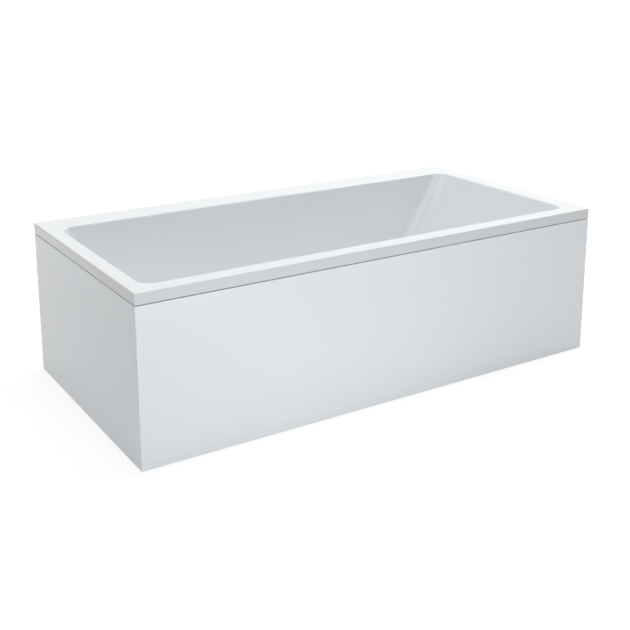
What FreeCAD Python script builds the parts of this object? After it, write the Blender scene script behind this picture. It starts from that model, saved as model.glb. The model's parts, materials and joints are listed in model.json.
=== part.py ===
import FreeCAD, Part
import math
import os

# A straight-rimmed bathtub with two panelled sides, for a corner with two walls.
# Millimetres and degrees. X runs from the foot end (waste and overflow) to the sloped head end,
# -Y is the panelled front, +Z is up, and the origin is on the floor under the middle of the rim.

# ---- the tub ----
length = 1800.0
width = 900.0
height = 550.0
shell_t = 5.0
lip_depth = 37.5
rim_foot = 52.0
rim_head = 70.0
rim_front = 60.0
rim_back = 116.0
floor_fall = 6.0
foot_slope = 10.0
head_slope = 32.0
side_slope = 8.0
rim_corner_r = 45.0
floor_corner_r = 120.0
floor_fillet_r = 70.0
rim_inner_r = 8.0
rim_outer_r = 2.5
corner_edge_r = 3.0

# ---- timber and board under it ----
batten_gap = 3.0
back_batten_w = 45.0
board_t = 18.0
board_inset = 20.0
board_from_waste = 80.0

# ---- panels ----
shadow_gap = 2.5
panel_recess = 1.0
panel_t = 5.0
panel_lift = 2.0
panel_edge_r = 1.5
panel_return = 25.0
backer_t = 9.0
backer_gap = 1.0
striker_t = 2.0
magnet_t = 6.0
magnet_w = 46.0
magnet_h = 15.0
magnet_lift = 12.0
floor_batten_w = 25.0
floor_batten_h = 38.0
angle_leg = 25.0
angle_t = 2.0
clip_t = 1.5
clip_w = 40.0
clip_arm = 16.0

# ---- wall brackets ----
bracket_t = 3.0
bracket_w = 60.0
bracket_leg = 42.0
bracket_hole_r = 3.25
bracket_hole_pitch = 36.0
wood_screw_r = 2.25
wood_screw_head_r = 4.3
wood_screw_length = 22.0

# ---- legs ----
rail_w = 40.0
rail_h = 30.0
rail_t = 2.0
rail_overhang = 24.0
leg_clearance = 36.6
rod_r = 6.0
rod_spare = 40.0
rod_end_gap = 11.0
rod_chamfer = 1.0
nut_height = 10.0
nut_across = 19.0
running_gap = 0.08
hole_gap = 0.6
pad_r = 25.0
pad_t = 7.0
pad_edge_r = 2.0
pad_boss_r = 11.0
pad_boss_h = 12.0
pad_socket = 14.0
foot_travel = 15.0
plate_w = 90.0
plate_t = 3.0

# ---- waste ----
waste_from_wall = 135.0
waste_hole_r = 26.0
seat_depth = 0.5
seat_rim = 1.5
flange_r = 35.0
flange_t = 3.0
tail_r = 23.0
tail_wall = 2.0
tail_length = 22.0
flange_seal_t = 1.5
under_seal_t = 3.0
seal_squeeze = 1.0
body_flange_r = 37.0
body_flange_t = 4.0
cup_r = 27.5
cup_wall = 3.0
cup_depth = 32.0
spigot_r = 13.0
spigot_wall = 2.5
waste_thread_r = 21.0
waste_thread_wall = 3.5
waste_thread_length = 15.0
bush_r = 7.0
spoke_w = 3.5
spoke_h = 6.0
stem_r = 4.0
plug_r = 31.0
plug_t = 4.5
plug_collar_r = 18.0
plug_collar_h = 9.0
plug_seal_t = 1.4
seat_gap = 0.3
lever_arm = 16.0
lever_swing = 30.0
lever_w = 7.0
lever_nose_r = 3.0
lever_hub_r = 4.5
lever_pin_r = 2.0
lever_clear = 2.0

# ---- trap and outlet ----
trap_r = 50.0
trap_wall = 3.0
trap_lift = 8.0
trap_seal_t = 1.5
dip_clear = 14.0
trap_cap_r = 53.0
trap_cap_h = 9.0
trap_cap_floor = 4.0
outlet_over_cap = 0.7
outlet_under_top = 1.0
union_nut_r = 30.0
union_nut_h = 13.0
outlet_r = 20.0
outlet_wall = 2.2
outlet_socket_wall = 2.4
outlet_socket_length = 34.0
outlet_nut_r = 27.0
outlet_nut_h = 18.0
outlet_nut_step = 2.0
outlet_end_gap = 5.0
outlet_grip = 60.0
outlet_mark_w = 2.0
outlet_mark_depth = 0.5
nut_rib_h = 1.5
nut_rib_w = 3.0
nut_ribs = 12

# ---- overflow ----
overflow_below_rim = 82.0
overflow_hole_r = 26.5
faceplate_r = 33.0
faceplate_t = 4.0
neck_r = 22.0
neck_wall = 2.5
neck_length = 16.0
overflow_seal_t = 3.0
overflow_flange_r = 34.0
overflow_cup_depth = 30.0
overflow_cup_wall = 2.5
knob_r = 35.0
knob_h = 17.0
knob_wall = 2.5
knob_gap = 1.0
knob_edge_r = 3.0
knob_slot_w = 26.0
knob_slot_h = 7.0
crank_r = 14.0
crank_t = 4.0
overflow_spigot_drop = 60.0

# ---- hose and cable ----
hose_root_r = 14.6
hose_crest_r = 17.0
hose_cuff = 34.0
hose_grip = 26.0
hose_bend_r = 92.0
rib_pitch = 5.5
clip_band_w = 10.0
clip_band_t = 1.2
clip_housing_w = 14.0
clip_housing_h = 6.0
clip_screw_length = 5.0
cable_r = 2.5
cable_offset = 21.0
gland_r = 4.5
gland_length = 14.0
tie_t = 1.2
tie_w = 5.0
tie_gap = 0.2
tie_head_w = 7.0
tie_head_h = 3.0

vec = FreeCAD.Vector
x_axis = vec(1, 0, 0)
y_axis = vec(0, 1, 0)
z_axis = vec(0, 0, 1)

# ---- places worked out from the sizes ----
foot_face = -length / 2
head_face = length / 2
front_face = -width / 2
back_face = width / 2
lip_z = height - lip_depth
rim_under = height - shell_t

# ---- the stack from the floor of the room up to the floor of the well ----
trap_cap_top = trap_lift - trap_cap_floor + trap_cap_h
outlet_z = trap_cap_top + outlet_over_cap + outlet_socket_wall + outlet_r
trap_top = outlet_z + outlet_r + outlet_socket_wall + outlet_under_top
thread_under = trap_top + trap_seal_t
cup_under = thread_under + waste_thread_length
cup_top = cup_under + cup_depth
body_top = cup_top + body_flange_t
floor_under = body_top + under_seal_t
floor_z = floor_under + shell_t
board_under = floor_under - board_t


def slope(angle):
    return math.tan(math.radians(angle))


def lean(angle):
    return math.cos(math.radians(angle))


def foot_wall(z):
    return foot_face + rim_foot + (height - z) * slope(foot_slope)


def head_wall(z):
    return head_face - rim_head - (height - z) * slope(head_slope)


def front_wall(z):
    return front_face + rim_front + (height - z) * slope(side_slope)


def back_wall(z):
    return back_face - rim_back - (height - z) * slope(side_slope)


middle_y = (front_wall(height) + back_wall(height)) / 2
foot_batten_x = foot_wall(rim_under) - shell_t / lean(foot_slope) - batten_gap
head_batten_x = head_wall(rim_under) + shell_t / lean(head_slope) + batten_gap
front_batten_y = front_wall(rim_under) - shell_t / lean(side_slope) - batten_gap
waste_x = foot_wall(floor_z) + waste_from_wall
panel_top = lip_z - shadow_gap
panel_foot_x = foot_face + panel_recess
panel_front_y = front_face + panel_recess
backer_foot_x = panel_foot_x + panel_t + backer_t
backer_front_y = panel_front_y + panel_t + backer_t
floor_batten_x = backer_foot_x + striker_t + magnet_t
floor_batten_y = backer_front_y + striker_t + magnet_t
board_foot_x = waste_x + board_from_waste
board_head_x = head_wall(floor_under) - floor_fillet_r
board_front_y = front_wall(floor_under) + floor_fillet_r - board_inset
board_back_y = back_wall(floor_under) - floor_fillet_r + board_inset
foot_rail_x = board_foot_x + 2 * rail_w
head_rail_x = board_head_x - 2 * rail_w
centre_foot_x = (foot_rail_x + head_rail_x) / 2
front_foot_y = front_wall(board_under) - shell_t / lean(side_slope) - leg_clearance
back_foot_y = back_wall(board_under) + shell_t / lean(side_slope) + leg_clearance
rail_under = board_under - rail_h


# ---- plain shapes ----
def box(x0, x1, y0, y1, z0, z1):
    return Part.makeBox(x1 - x0, y1 - y0, z1 - z0, vec(x0, y0, z0))


def cylinder(radius, start, axis, run):
    return Part.makeCylinder(radius, run, start, axis)


def tube(radius, bore_r, start, axis, run):
    return cylinder(radius, start, axis, run).cut(cylinder(bore_r, start, axis, run))


def upright(radius, x, y, z0, z1):
    return cylinder(radius, vec(x, y, z0), z_axis, z1 - z0)


def ring(radius, bore_r, x, y, z0, z1):
    return tube(radius, bore_r, vec(x, y, z0), z_axis, z1 - z0)


def joined(shapes):
    whole = shapes[0]
    for shape in shapes[1:]:
        whole = whole.fuse(shape)
    return whole.removeSplitter()


def without(shape, tools):
    for tool in tools:
        shape = shape.cut(tool)
    return shape


def hexagon(across, x, y, z0, z1):
    corner_r = across / 2 / lean(30)
    corners = []
    for side in range(7):
        turn = math.radians(60 * side)
        corners.append(vec(x + corner_r * math.cos(turn), y + corner_r * math.sin(turn), z0))
    return Part.Face(Part.makePolygon(corners)).extrude(vec(0, 0, z1 - z0))


def rounded_wire(x0, x1, y0, y1, z, r):
    def corner(cx, cy, start):
        points = []
        for step in (0, 45, 90):
            turn = math.radians(start + step)
            points.append(vec(cx + r * math.cos(turn), cy + r * math.sin(turn), z))
        return Part.Arc(*points).toShape()

    return Part.Wire([
        Part.makeLine(vec(x0 + r, y0, z), vec(x1 - r, y0, z)),
        corner(x1 - r, y0 + r, -90),
        Part.makeLine(vec(x1, y0 + r, z), vec(x1, y1 - r, z)),
        corner(x1 - r, y1 - r, 0),
        Part.makeLine(vec(x1 - r, y1, z), vec(x0 + r, y1, z)),
        corner(x0 + r, y1 - r, 90),
        Part.makeLine(vec(x0, y1 - r, z), vec(x0, y0 + r, z)),
        corner(x0 + r, y0 + r, 180),
    ])


def rounded_block(x0, x1, y0, y1, z0, z1, r):
    return Part.Face(rounded_wire(x0, x1, y0, y1, z0, r)).extrude(vec(0, 0, z1 - z0))


# ---- tub shell ----
def basin(grow, fall):
    """The well as a solid, its walls moved out by grow and its floor falling to the foot end."""
    def outline(z):
        share = (z - low) / (height - low)
        r = floor_corner_r + grow + (rim_corner_r - floor_corner_r) * share
        return rounded_wire(
            foot_wall(z) - grow / lean(foot_slope),
            head_wall(z) + grow / lean(head_slope),
            front_wall(z) - grow / lean(side_slope),
            back_wall(z) + grow / lean(side_slope),
            z, r)

    bottom = floor_z - grow
    low = bottom - 2 * floor_fall - shell_t
    well = Part.makeLoft([outline(low), outline(height)], True, True)
    rise = fall / (head_wall(floor_z) - waste_x)
    far = length
    under = Part.Face(Part.makePolygon([
        vec(-far, -width, low - far),
        vec(far, -width, low - far),
        vec(far, -width, bottom + rise * (far - waste_x)),
        vec(-far, -width, bottom + rise * (-far - waste_x)),
        vec(-far, -width, low - far),
    ])).extrude(vec(0, 2 * width, 0))
    well = well.cut(under).Solids[0]
    ceiling = bottom + 2 * floor_fall
    edges = []
    for edge in well.Edges:
        if all(vertex.Z < ceiling for vertex in edge.Vertexes):
            edges.append(edge)
    return well.makeFillet(floor_fillet_r + grow, edges)


def rim_edges(shape, z, inner):
    edges = []
    for edge in shape.Edges:
        if any(abs(vertex.Z - z) > 0.01 for vertex in edge.Vertexes):
            continue
        middle = edge.CenterOfMass
        inside = abs(middle.x) < head_face - 1 and abs(middle.y) < back_face - 1
        spans_well = foot_wall(z) - 1 < middle.x < head_wall(z) + 1
        if inside == inner and (spans_well or not inner):
            edges.append(edge)
    return edges


def tub_shell():
    rim = rounded_block(foot_face, head_face, front_face, back_face, lip_z, height, corner_edge_r)
    rim = rim.makeFillet(rim_outer_r, rim_edges(rim, height, False))
    hollow = box(foot_face + shell_t, head_face - shell_t, front_face + shell_t, back_face - shell_t,
                 lip_z, rim_under)
    shell = rim.cut(hollow).fuse(basin(shell_t, 0)).removeSplitter()
    shell = shell.cut(basin(0, floor_fall))
    shell = shell.makeFillet(rim_inner_r, rim_edges(shell, height, True))
    waste_seat = upright(flange_r + seat_rim, waste_x, middle_y, seat_z, floor_z + floor_fall)
    waste_hole = upright(waste_hole_r, waste_x, middle_y, floor_under, seat_z)
    return without(shell, [waste_seat, waste_hole, overflow_bore(overflow_hole_r)])


def overflow_bore(radius):
    return at_overflow(cylinder(radius, vec(0, 0, -3 * shell_t), z_axis, 6 * shell_t))


# ---- timber and board ----
def rim_batten_front():
    batten = box(foot_face + shell_t, head_face - shell_t,
                 front_face + shell_t, front_batten_y, lip_z, rim_under)
    return without(batten, [clip_screws()])


def rim_batten_back():
    batten = box(foot_face + shell_t, head_face - shell_t,
                 back_face - shell_t - back_batten_w, back_face - shell_t, lip_z, rim_under)
    return without(batten, [bracket_screws()])


def rim_batten_foot():
    batten = box(foot_face + shell_t, foot_batten_x,
                 front_batten_y, back_face - shell_t - back_batten_w, lip_z, rim_under)
    return without(batten, [clip_screws()])


def rim_batten_head():
    batten = box(head_batten_x, head_face - shell_t,
                 front_batten_y, back_face - shell_t - back_batten_w, lip_z, rim_under)
    return without(batten, [bracket_screws()])


def base_board():
    board = box(board_foot_x, board_head_x, board_front_y, board_back_y, board_under, floor_under)
    rod_hole = upright(rod_r + 2 * hole_gap, centre_foot_x, middle_y, board_under, floor_under)
    return without(board, [rod_hole] + [rail_screws(), plate_screws()])


# ---- panels ----
def front_panel():
    """Skin in plan with a mitred, rounded left corner, plus its returned edges."""
    outer = corner_point()
    skin = Part.Face(Part.Wire([
        Part.Arc(outer[0], outer[1], outer[2]).toShape(),
        Part.makeLine(outer[2], vec(head_face - panel_recess, panel_front_y, 0)),
        Part.makeLine(vec(head_face - panel_recess, panel_front_y, 0),
                      vec(head_face - panel_recess, panel_front_y + panel_t, 0)),
        Part.makeLine(vec(head_face - panel_recess, panel_front_y + panel_t, 0), inner_corner()),
        Part.makeLine(inner_corner(), outer[0]),
    ])).extrude(vec(0, 0, panel_top - panel_lift))
    skin.translate(vec(0, 0, panel_lift))
    inside = panel_front_y + panel_t
    top = box(panel_foot_x + panel_t + panel_return, head_face - panel_recess,
              inside, inside + panel_return, panel_top - panel_t, panel_top)
    bottom = box(panel_foot_x + panel_t + panel_return, head_face - panel_recess,
                 inside, backer_front_y, panel_lift, panel_lift + panel_t)
    end = box(head_face - panel_recess - panel_t, head_face - panel_recess,
              inside, backer_front_y, panel_lift, panel_top)
    return soften_top(joined([skin, top, bottom, end]))


def end_panel():
    outer = corner_point()
    mirrored = [vec(panel_foot_x + (point.y - panel_front_y), panel_front_y + (point.x - panel_foot_x), 0)
                for point in outer]
    skin = Part.Face(Part.Wire([
        Part.Arc(mirrored[0], mirrored[1], mirrored[2]).toShape(),
        Part.makeLine(mirrored[2], vec(panel_foot_x, back_face - panel_recess, 0)),
        Part.makeLine(vec(panel_foot_x, back_face - panel_recess, 0),
                      vec(panel_foot_x + panel_t, back_face - panel_recess, 0)),
        Part.makeLine(vec(panel_foot_x + panel_t, back_face - panel_recess, 0), inner_corner()),
        Part.makeLine(inner_corner(), mirrored[0]),
    ])).extrude(vec(0, 0, panel_top - panel_lift))
    skin.translate(vec(0, 0, panel_lift))
    inside = panel_foot_x + panel_t
    top = box(inside, inside + panel_return, panel_front_y + panel_t + panel_return,
              back_face - panel_recess, panel_top - panel_t, panel_top)
    bottom = box(inside, backer_foot_x, panel_front_y + panel_t + panel_return,
                 back_face - panel_recess, panel_lift, panel_lift + panel_t)
    end = box(inside, backer_foot_x, back_face - panel_recess - panel_t,
              back_face - panel_recess, panel_lift, panel_top)
    return soften_top(joined([skin, top, bottom, end]))


def corner_point():
    """Half of the rounded outer corner: its mitre point, its middle and its end on the front."""
    points = []
    for turn in (225, 247.5, 270):
        turn = math.radians(turn)
        points.append(vec(panel_foot_x + corner_edge_r + corner_edge_r * math.cos(turn),
                          panel_front_y + corner_edge_r + corner_edge_r * math.sin(turn), 0))
    return points


def inner_corner():
    return vec(panel_foot_x + panel_t, panel_front_y + panel_t, 0)


def soften_top(panel):
    edges = []
    for edge in panel.Edges:
        middle = edge.CenterOfMass
        on_top = all(abs(vertex.Z - panel_top) < 0.01 for vertex in edge.Vertexes)
        near_front = middle.y < panel_front_y + corner_edge_r and middle.x > panel_foot_x + panel_t
        near_foot = middle.x < panel_foot_x + corner_edge_r and middle.y > panel_front_y + panel_t
        if on_top and edge.Length > panel_return + panel_t and (near_front or near_foot):
            edges.append(edge)
    return panel.makeFillet(panel_edge_r, edges)


def front_panel_backer():
    board = box(backer_foot_x, head_face - panel_recess - panel_t - backer_gap,
                backer_front_y - backer_t, backer_front_y,
                panel_lift + panel_t + backer_gap, panel_top - panel_t - backer_gap)
    return without(board, [corner_angle_screws()])


def end_panel_backer():
    board = box(backer_foot_x - backer_t, backer_foot_x,
                backer_front_y, back_face - panel_recess - panel_t - backer_gap,
                panel_lift + panel_t + backer_gap, panel_top - panel_t - backer_gap)
    return without(board, [corner_angle_screws()])


def corner_angle_span():
    return floor_batten_h + angle_leg, panel_top - panel_t - angle_leg


def panel_corner_angle():
    low, high = corner_angle_span()
    x, y = backer_foot_x, backer_front_y
    along = box(x, x + angle_leg, y, y + angle_t, low, high)
    across = box(x, x + angle_t, y, y + angle_leg, low, high)
    return without(along.fuse(across).removeSplitter(), [corner_angle_screws()])


def corner_angle_screws():
    low, high = corner_angle_span()
    screws = []
    for share in (0.1, 0.5, 0.9):
        z = low + (high - low) * share
        reach = angle_leg * 0.65
        screws.append(short_screw(vec(backer_foot_x + reach, backer_front_y + angle_t, z), -y_axis))
        screws.append(short_screw(vec(backer_foot_x + angle_t, backer_front_y + reach, z), -x_axis))
    return Part.makeCompound(screws)


def short_screw(seat, direction):
    """A pan-head screw whose head stands on the seat and whose shank runs along direction."""
    head = cylinder(wood_screw_head_r, seat, -direction, wood_screw_r)
    shank = cylinder(wood_screw_r, seat, direction, angle_t + backer_t * 0.7)
    return head.fuse(shank).removeSplitter()


def floor_batten_front():
    return box(floor_batten_x, head_face - panel_recess - panel_t,
               floor_batten_y, floor_batten_y + floor_batten_w, 0, floor_batten_h)


def floor_batten_end():
    return box(floor_batten_x, floor_batten_x + floor_batten_w,
               floor_batten_y + floor_batten_w, back_face - panel_recess - panel_t, 0, floor_batten_h)


def catch_places():
    """Places of the magnet catches: along the front by X, and along the foot end by Y."""
    run = head_face - floor_batten_x
    along_front = [floor_batten_x + run * share for share in (0.1, 0.37, 0.63, 0.9)]
    run = back_face - floor_batten_y
    along_end = [floor_batten_y + run * share for share in (0.2, 0.8)]
    return along_front, along_end


def catches(start, depth, half):
    blocks = []
    low = magnet_lift
    high = magnet_lift + magnet_h
    along_front, along_end = catch_places()
    near = backer_front_y + start
    for x in along_front:
        blocks.append(box(x - half, x + half, near, near + depth, low, high))
    near = backer_foot_x + start
    for y in along_end:
        blocks.append(box(near, near + depth, y - half, y + half, low, high))
    return Part.makeCompound(blocks)


def magnet_catches():
    return catches(striker_t, magnet_t, magnet_w / 2)


def striker_plates():
    return catches(0, striker_t, magnet_w / 2)


def panel_clip(width_along):
    """A clip in its own frame: X along the panel, Y from its outer face inwards, Z from the batten down."""
    half = width_along / 2
    back = panel_t + panel_return + clip_t
    shelf_z = -(shadow_gap + panel_t)
    fixing = box(-half, half, back, back + clip_arm, -clip_t, 0)
    leg = box(-half, half, back, back + clip_t, shelf_z - clip_t, 0)
    shelf = box(-half, half, panel_t + backer_t + backer_gap, back + clip_t, shelf_z - clip_t, shelf_z)
    clip = joined([fixing, leg, shelf])
    hole = cylinder(wood_screw_r, vec(0, back + clip_arm * 0.55, -clip_t), z_axis, clip_t)
    return clip.cut(hole)


def clip_screw():
    back = panel_t + panel_return + clip_t
    seat = vec(0, back + clip_arm * 0.55, -clip_t)
    head = cylinder(wood_screw_head_r, seat, -z_axis, wood_screw_r)
    return head.fuse(cylinder(wood_screw_r, seat, z_axis, wood_screw_length)).removeSplitter()


def front_clip_places():
    run = head_face - foot_face
    return [vec(foot_face + run * share, panel_front_y, lip_z) for share in (0.12, 0.37, 0.63, 0.88)]


def end_clip_places():
    run = back_face - front_face
    return [vec(panel_foot_x, front_face + run * share, lip_z) for share in (0.25, 0.75)]


def on_front(shape, place):
    shape.Placement = FreeCAD.Placement(place, FreeCAD.Rotation())
    return shape


def on_end(shape, place):
    shape.Placement = FreeCAD.Placement(place, FreeCAD.Rotation(z_axis, -90))
    return shape


def panel_clips():
    clips = [on_front(panel_clip(clip_w), place) for place in front_clip_places()]
    clips += [on_end(panel_clip(clip_w), place) for place in end_clip_places()]
    return Part.makeCompound(clips)


def clip_screws():
    screws = [on_front(clip_screw(), place) for place in front_clip_places()]
    screws += [on_end(clip_screw(), place) for place in end_clip_places()]
    return Part.makeCompound(screws)


# ---- wall brackets ----
def wall_bracket():
    """An angle in its own frame: X along the wall, Y from the wall inwards, Z from the batten down."""
    half = bracket_w / 2
    wall_leg = box(-half, half, 0, bracket_t, -bracket_leg, 0)
    rim_leg = box(-half, half, 0, bracket_leg, -bracket_t, 0)
    bracket = wall_leg.fuse(rim_leg).removeSplitter()
    holes = []
    for side in (-1, 1):
        place = vec(side * bracket_hole_pitch / 2, 0, -bracket_leg * 0.6)
        holes.append(cylinder(bracket_hole_r, place, y_axis, bracket_t))
    return without(bracket, holes + [bracket_screw()])


def bracket_screw():
    seat = vec(0, bracket_leg * 0.6, -bracket_t)
    head = cylinder(wood_screw_head_r, seat, -z_axis, wood_screw_r)
    return head.fuse(cylinder(wood_screw_r, seat, z_axis, wood_screw_length)).removeSplitter()


def on_back(shape, share):
    x = foot_face + length * share
    shape.Placement = FreeCAD.Placement(vec(x, back_face, lip_z), FreeCAD.Rotation(z_axis, 180))
    return shape


def on_head(shape, share):
    y = front_face + width * share
    shape.Placement = FreeCAD.Placement(vec(head_face, y, lip_z), FreeCAD.Rotation(z_axis, 90))
    return shape


back_bracket_shares = (0.17, 0.5, 0.83)
head_bracket_shares = (0.25, 0.75)


def wall_brackets():
    brackets = [on_back(wall_bracket(), share) for share in back_bracket_shares]
    brackets += [on_head(wall_bracket(), share) for share in head_bracket_shares]
    return Part.makeCompound(brackets)


def bracket_screws():
    screws = [on_back(bracket_screw(), share) for share in back_bracket_shares]
    screws += [on_head(bracket_screw(), share) for share in head_bracket_shares]
    return Part.makeCompound(screws)


# ---- legs ----
def cross_rail(x):
    low = front_foot_y - rail_overhang
    high = back_foot_y + rail_overhang
    half = rail_w / 2
    inner = half - rail_t
    channel = box(x - half, x + half, low, high, rail_under, board_under)
    hollow = box(x - inner, x + inner, low, high, rail_under, board_under - rail_t)
    holes = []
    for y in (front_foot_y, back_foot_y):
        holes.append(upright(rod_r + hole_gap, x, y, board_under - rail_t, board_under))
    return without(channel, [hollow] + holes + [rail_screws()])


def cross_rail_foot():
    return cross_rail(foot_rail_x)


def cross_rail_head():
    return cross_rail(head_rail_x)


def board_screw(x, y, seat_z):
    head = upright(wood_screw_head_r, x, y, seat_z - wood_screw_r, seat_z)
    return head.fuse(upright(wood_screw_r, x, y, seat_z, board_under + board_t * 0.75)).removeSplitter()


def rail_screws():
    run = board_back_y - board_front_y
    screws = []
    for x in (foot_rail_x, head_rail_x):
        for share in (0.08, 0.36, 0.64, 0.92):
            screws.append(board_screw(x, board_front_y + run * share, board_under - rail_t))
    return Part.makeCompound(screws)


def plate_screws():
    reach = plate_w * 0.36
    screws = []
    for side_x in (-1, 1):
        for side_y in (-1, 1):
            screws.append(board_screw(centre_foot_x + side_x * reach, middle_y + side_y * reach,
                                      board_under - plate_t))
    return Part.makeCompound(screws)


def centre_foot_plate():
    half = plate_w / 2
    plate = box(centre_foot_x - half, centre_foot_x + half, middle_y - half, middle_y + half,
                board_under - plate_t, board_under)
    boss = hexagon(nut_across, centre_foot_x, middle_y, board_under - plate_t - nut_height,
                   board_under - plate_t)
    bore = upright(rod_r + running_gap, centre_foot_x, middle_y, board_under - plate_t - nut_height,
                   board_under)
    return without(plate.fuse(boss).removeSplitter(), [bore, plate_screws()])


def foot_places():
    return {
        "front_left": (foot_rail_x, front_foot_y),
        "back_left": (foot_rail_x, back_foot_y),
        "front_right": (head_rail_x, front_foot_y),
        "back_right": (head_rail_x, back_foot_y),
        "centre": (centre_foot_x, middle_y),
    }


def foot_rod(name):
    x, y = foot_places()[name]
    low = pad_t + pad_boss_h - pad_socket
    high = board_under + nut_height + rod_spare
    if name == "centre":
        high = floor_under - foot_travel - rod_end_gap
    rod = upright(rod_r, x, y, low, high)
    top = [edge for edge in rod.Edges if edge.CenterOfMass.z > high - rod_chamfer]
    return rod.makeChamfer(rod_chamfer, top)


def foot_pad(name):
    x, y = foot_places()[name]
    disc = upright(pad_r, x, y, 0, pad_t)
    top = [edge for edge in disc.Edges if edge.CenterOfMass.z > pad_t - pad_edge_r]
    disc = disc.makeFillet(pad_edge_r, top)
    boss = upright(pad_boss_r, x, y, pad_t, pad_t + pad_boss_h)
    socket = upright(rod_r, x, y, pad_t + pad_boss_h - pad_socket, pad_t + pad_boss_h)
    return disc.fuse(boss).removeSplitter().cut(socket)


def lock_nut(x, y, z0):
    nut = hexagon(nut_across, x, y, z0, z0 + nut_height)
    return nut.cut(upright(rod_r + running_gap, x, y, z0, z0 + nut_height))


def lock_nuts():
    nuts = []
    for name, (x, y) in foot_places().items():
        if name == "centre":
            nuts.append(lock_nut(x, y, board_under - plate_t - 2 * nut_height - running_gap))
        else:
            nuts.append(lock_nut(x, y, board_under - rail_t - nut_height))
            nuts.append(lock_nut(x, y, board_under))
    return Part.makeCompound(nuts)


# ---- waste ----
seat_z = floor_z - seat_depth
flange_under = seat_z + flange_seal_t
flange_top = flange_under + flange_t
tail_under = flange_under - tail_length
hose_z = cup_top - cup_depth / 2
lever_rise = lever_arm * math.sin(math.radians(lever_swing / 2))
lever_z = cup_under + cup_wall + lever_nose_r + lever_rise + lever_clear
nose_top = lever_z - lever_rise + lever_nose_r
plug_lift = 2 * lever_rise
bush_under = tail_under
lever_pivot_x = waste_x + lever_arm


def waste_flange():
    plate = ring(flange_r, tail_r - tail_wall, waste_x, middle_y, flange_under, flange_top)
    rim = [edge for edge in plate.Edges
           if edge.BoundBox.XLength > 2 * flange_r - 1 and edge.CenterOfMass.z > flange_top - 0.1]
    plate = plate.makeFillet(flange_t / 2, rim)
    tail = ring(tail_r, tail_r - tail_wall, waste_x, middle_y, tail_under, flange_under)
    bush = upright(bush_r, waste_x, middle_y, bush_under, bush_under + spoke_h)
    spokes = []
    for side in range(3):
        spoke = box(0, tail_r - tail_wall / 2, -spoke_w / 2, spoke_w / 2, 0, spoke_h)
        spoke.Placement = FreeCAD.Placement(vec(waste_x, middle_y, bush_under),
                                            FreeCAD.Rotation(z_axis, 60 + 120 * side))
        spokes.append(spoke)
    bore = upright(stem_r + running_gap, waste_x, middle_y, bush_under, bush_under + spoke_h)
    return joined([plate, tail, bush] + spokes).cut(bore)


def waste_seal_upper():
    return ring(flange_r - 1, tail_r + seal_squeeze, waste_x, middle_y, seat_z, flange_under)


def waste_seal_lower():
    return ring(body_flange_r - 1, tail_r + seal_squeeze, waste_x, middle_y, body_top, floor_under)


def waste_body():
    flange = upright(body_flange_r, waste_x, middle_y, cup_top, body_top)
    cup = upright(cup_r, waste_x, middle_y, cup_under, cup_top)
    thread = upright(waste_thread_r, waste_x, middle_y, thread_under, cup_under)
    side = cylinder(spigot_r, vec(waste_x - spigot_reach(), middle_y, hose_z), x_axis, spigot_reach())
    gland = cylinder(gland_r, vec(cable_end_x(), middle_y + cable_offset, hose_z), x_axis,
                     waste_x - cable_end_x())
    inside = upright(cup_r - cup_wall, waste_x, middle_y, cup_under + cup_wall, cup_top)
    tail_seat = upright(tail_r + hole_gap / 4, waste_x, middle_y, cup_top, body_top)
    drain = upright(waste_thread_r - waste_thread_wall, waste_x, middle_y, thread_under, cup_under + cup_wall)
    side_bore = cylinder(spigot_r - spigot_wall, vec(waste_x - spigot_reach(), middle_y, hose_z), x_axis,
                         spigot_reach())
    cable_bore = cylinder(cable_r * 0.5, vec(cable_end_x(), middle_y + cable_offset, hose_z), x_axis,
                          waste_x - cable_end_x())
    whole = joined([flange, cup, thread, side, gland])
    return without(whole, [inside, tail_seat, drain, side_bore, cable_bore, lever_pin()])


def spigot_reach():
    return cup_r + 2 * hose_grip * 0.75


def cable_end_x():
    return waste_x - cup_r - gland_length / 2


def waste_plug():
    low = flange_top + seat_gap + plug_seal_t
    cap = upright(plug_r, waste_x, middle_y, low, low + plug_t)
    top = [edge for edge in cap.Edges if edge.CenterOfMass.z > low + plug_t - 0.1]
    cap = cap.makeFillet(plug_t * 0.6, top)
    collar = upright(plug_collar_r, waste_x, middle_y, low - plug_collar_h, low)
    socket = upright(stem_r, waste_x, middle_y, low - plug_collar_h, low)
    return joined([cap, collar]).cut(socket)


def plug_seal():
    low = flange_top + seat_gap
    return ring(tail_r + 3, plug_collar_r, waste_x, middle_y, low, low + plug_seal_t)


def plug_stem():
    return upright(stem_r, waste_x, middle_y, nose_top + seat_gap, flange_top + seat_gap + plug_seal_t)


def plug_lever():
    """Drawn level about its pivot, then swung down to the closed position."""
    hub = cylinder(lever_hub_r, vec(0, -lever_w / 2, 0), y_axis, lever_w)
    arm = box(-lever_arm, 0, -lever_w / 2, lever_w / 2, -lever_nose_r / 2, lever_nose_r / 2)
    nose = cylinder(lever_nose_r, vec(-lever_arm, -lever_w / 2, 0), y_axis, lever_w)
    bore = cylinder(lever_pin_r + running_gap, vec(0, -lever_w, 0), y_axis, 2 * lever_w)
    lever = joined([hub, arm, nose]).cut(bore)
    lever.Placement = FreeCAD.Placement(vec(lever_pivot_x, middle_y, lever_z),
                                        FreeCAD.Rotation(y_axis, -lever_swing / 2))
    return lever


def lever_pin():
    half = math.sqrt(cup_r ** 2 - lever_arm ** 2) - cup_wall / 3
    return cylinder(lever_pin_r, vec(lever_pivot_x, middle_y - half, lever_z), y_axis, 2 * half)


# ---- trap and outlet ----
outlet_start_y = middle_y + trap_r + outlet_socket_length - outlet_nut_h
outlet_end_y = back_face - outlet_end_gap


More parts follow.
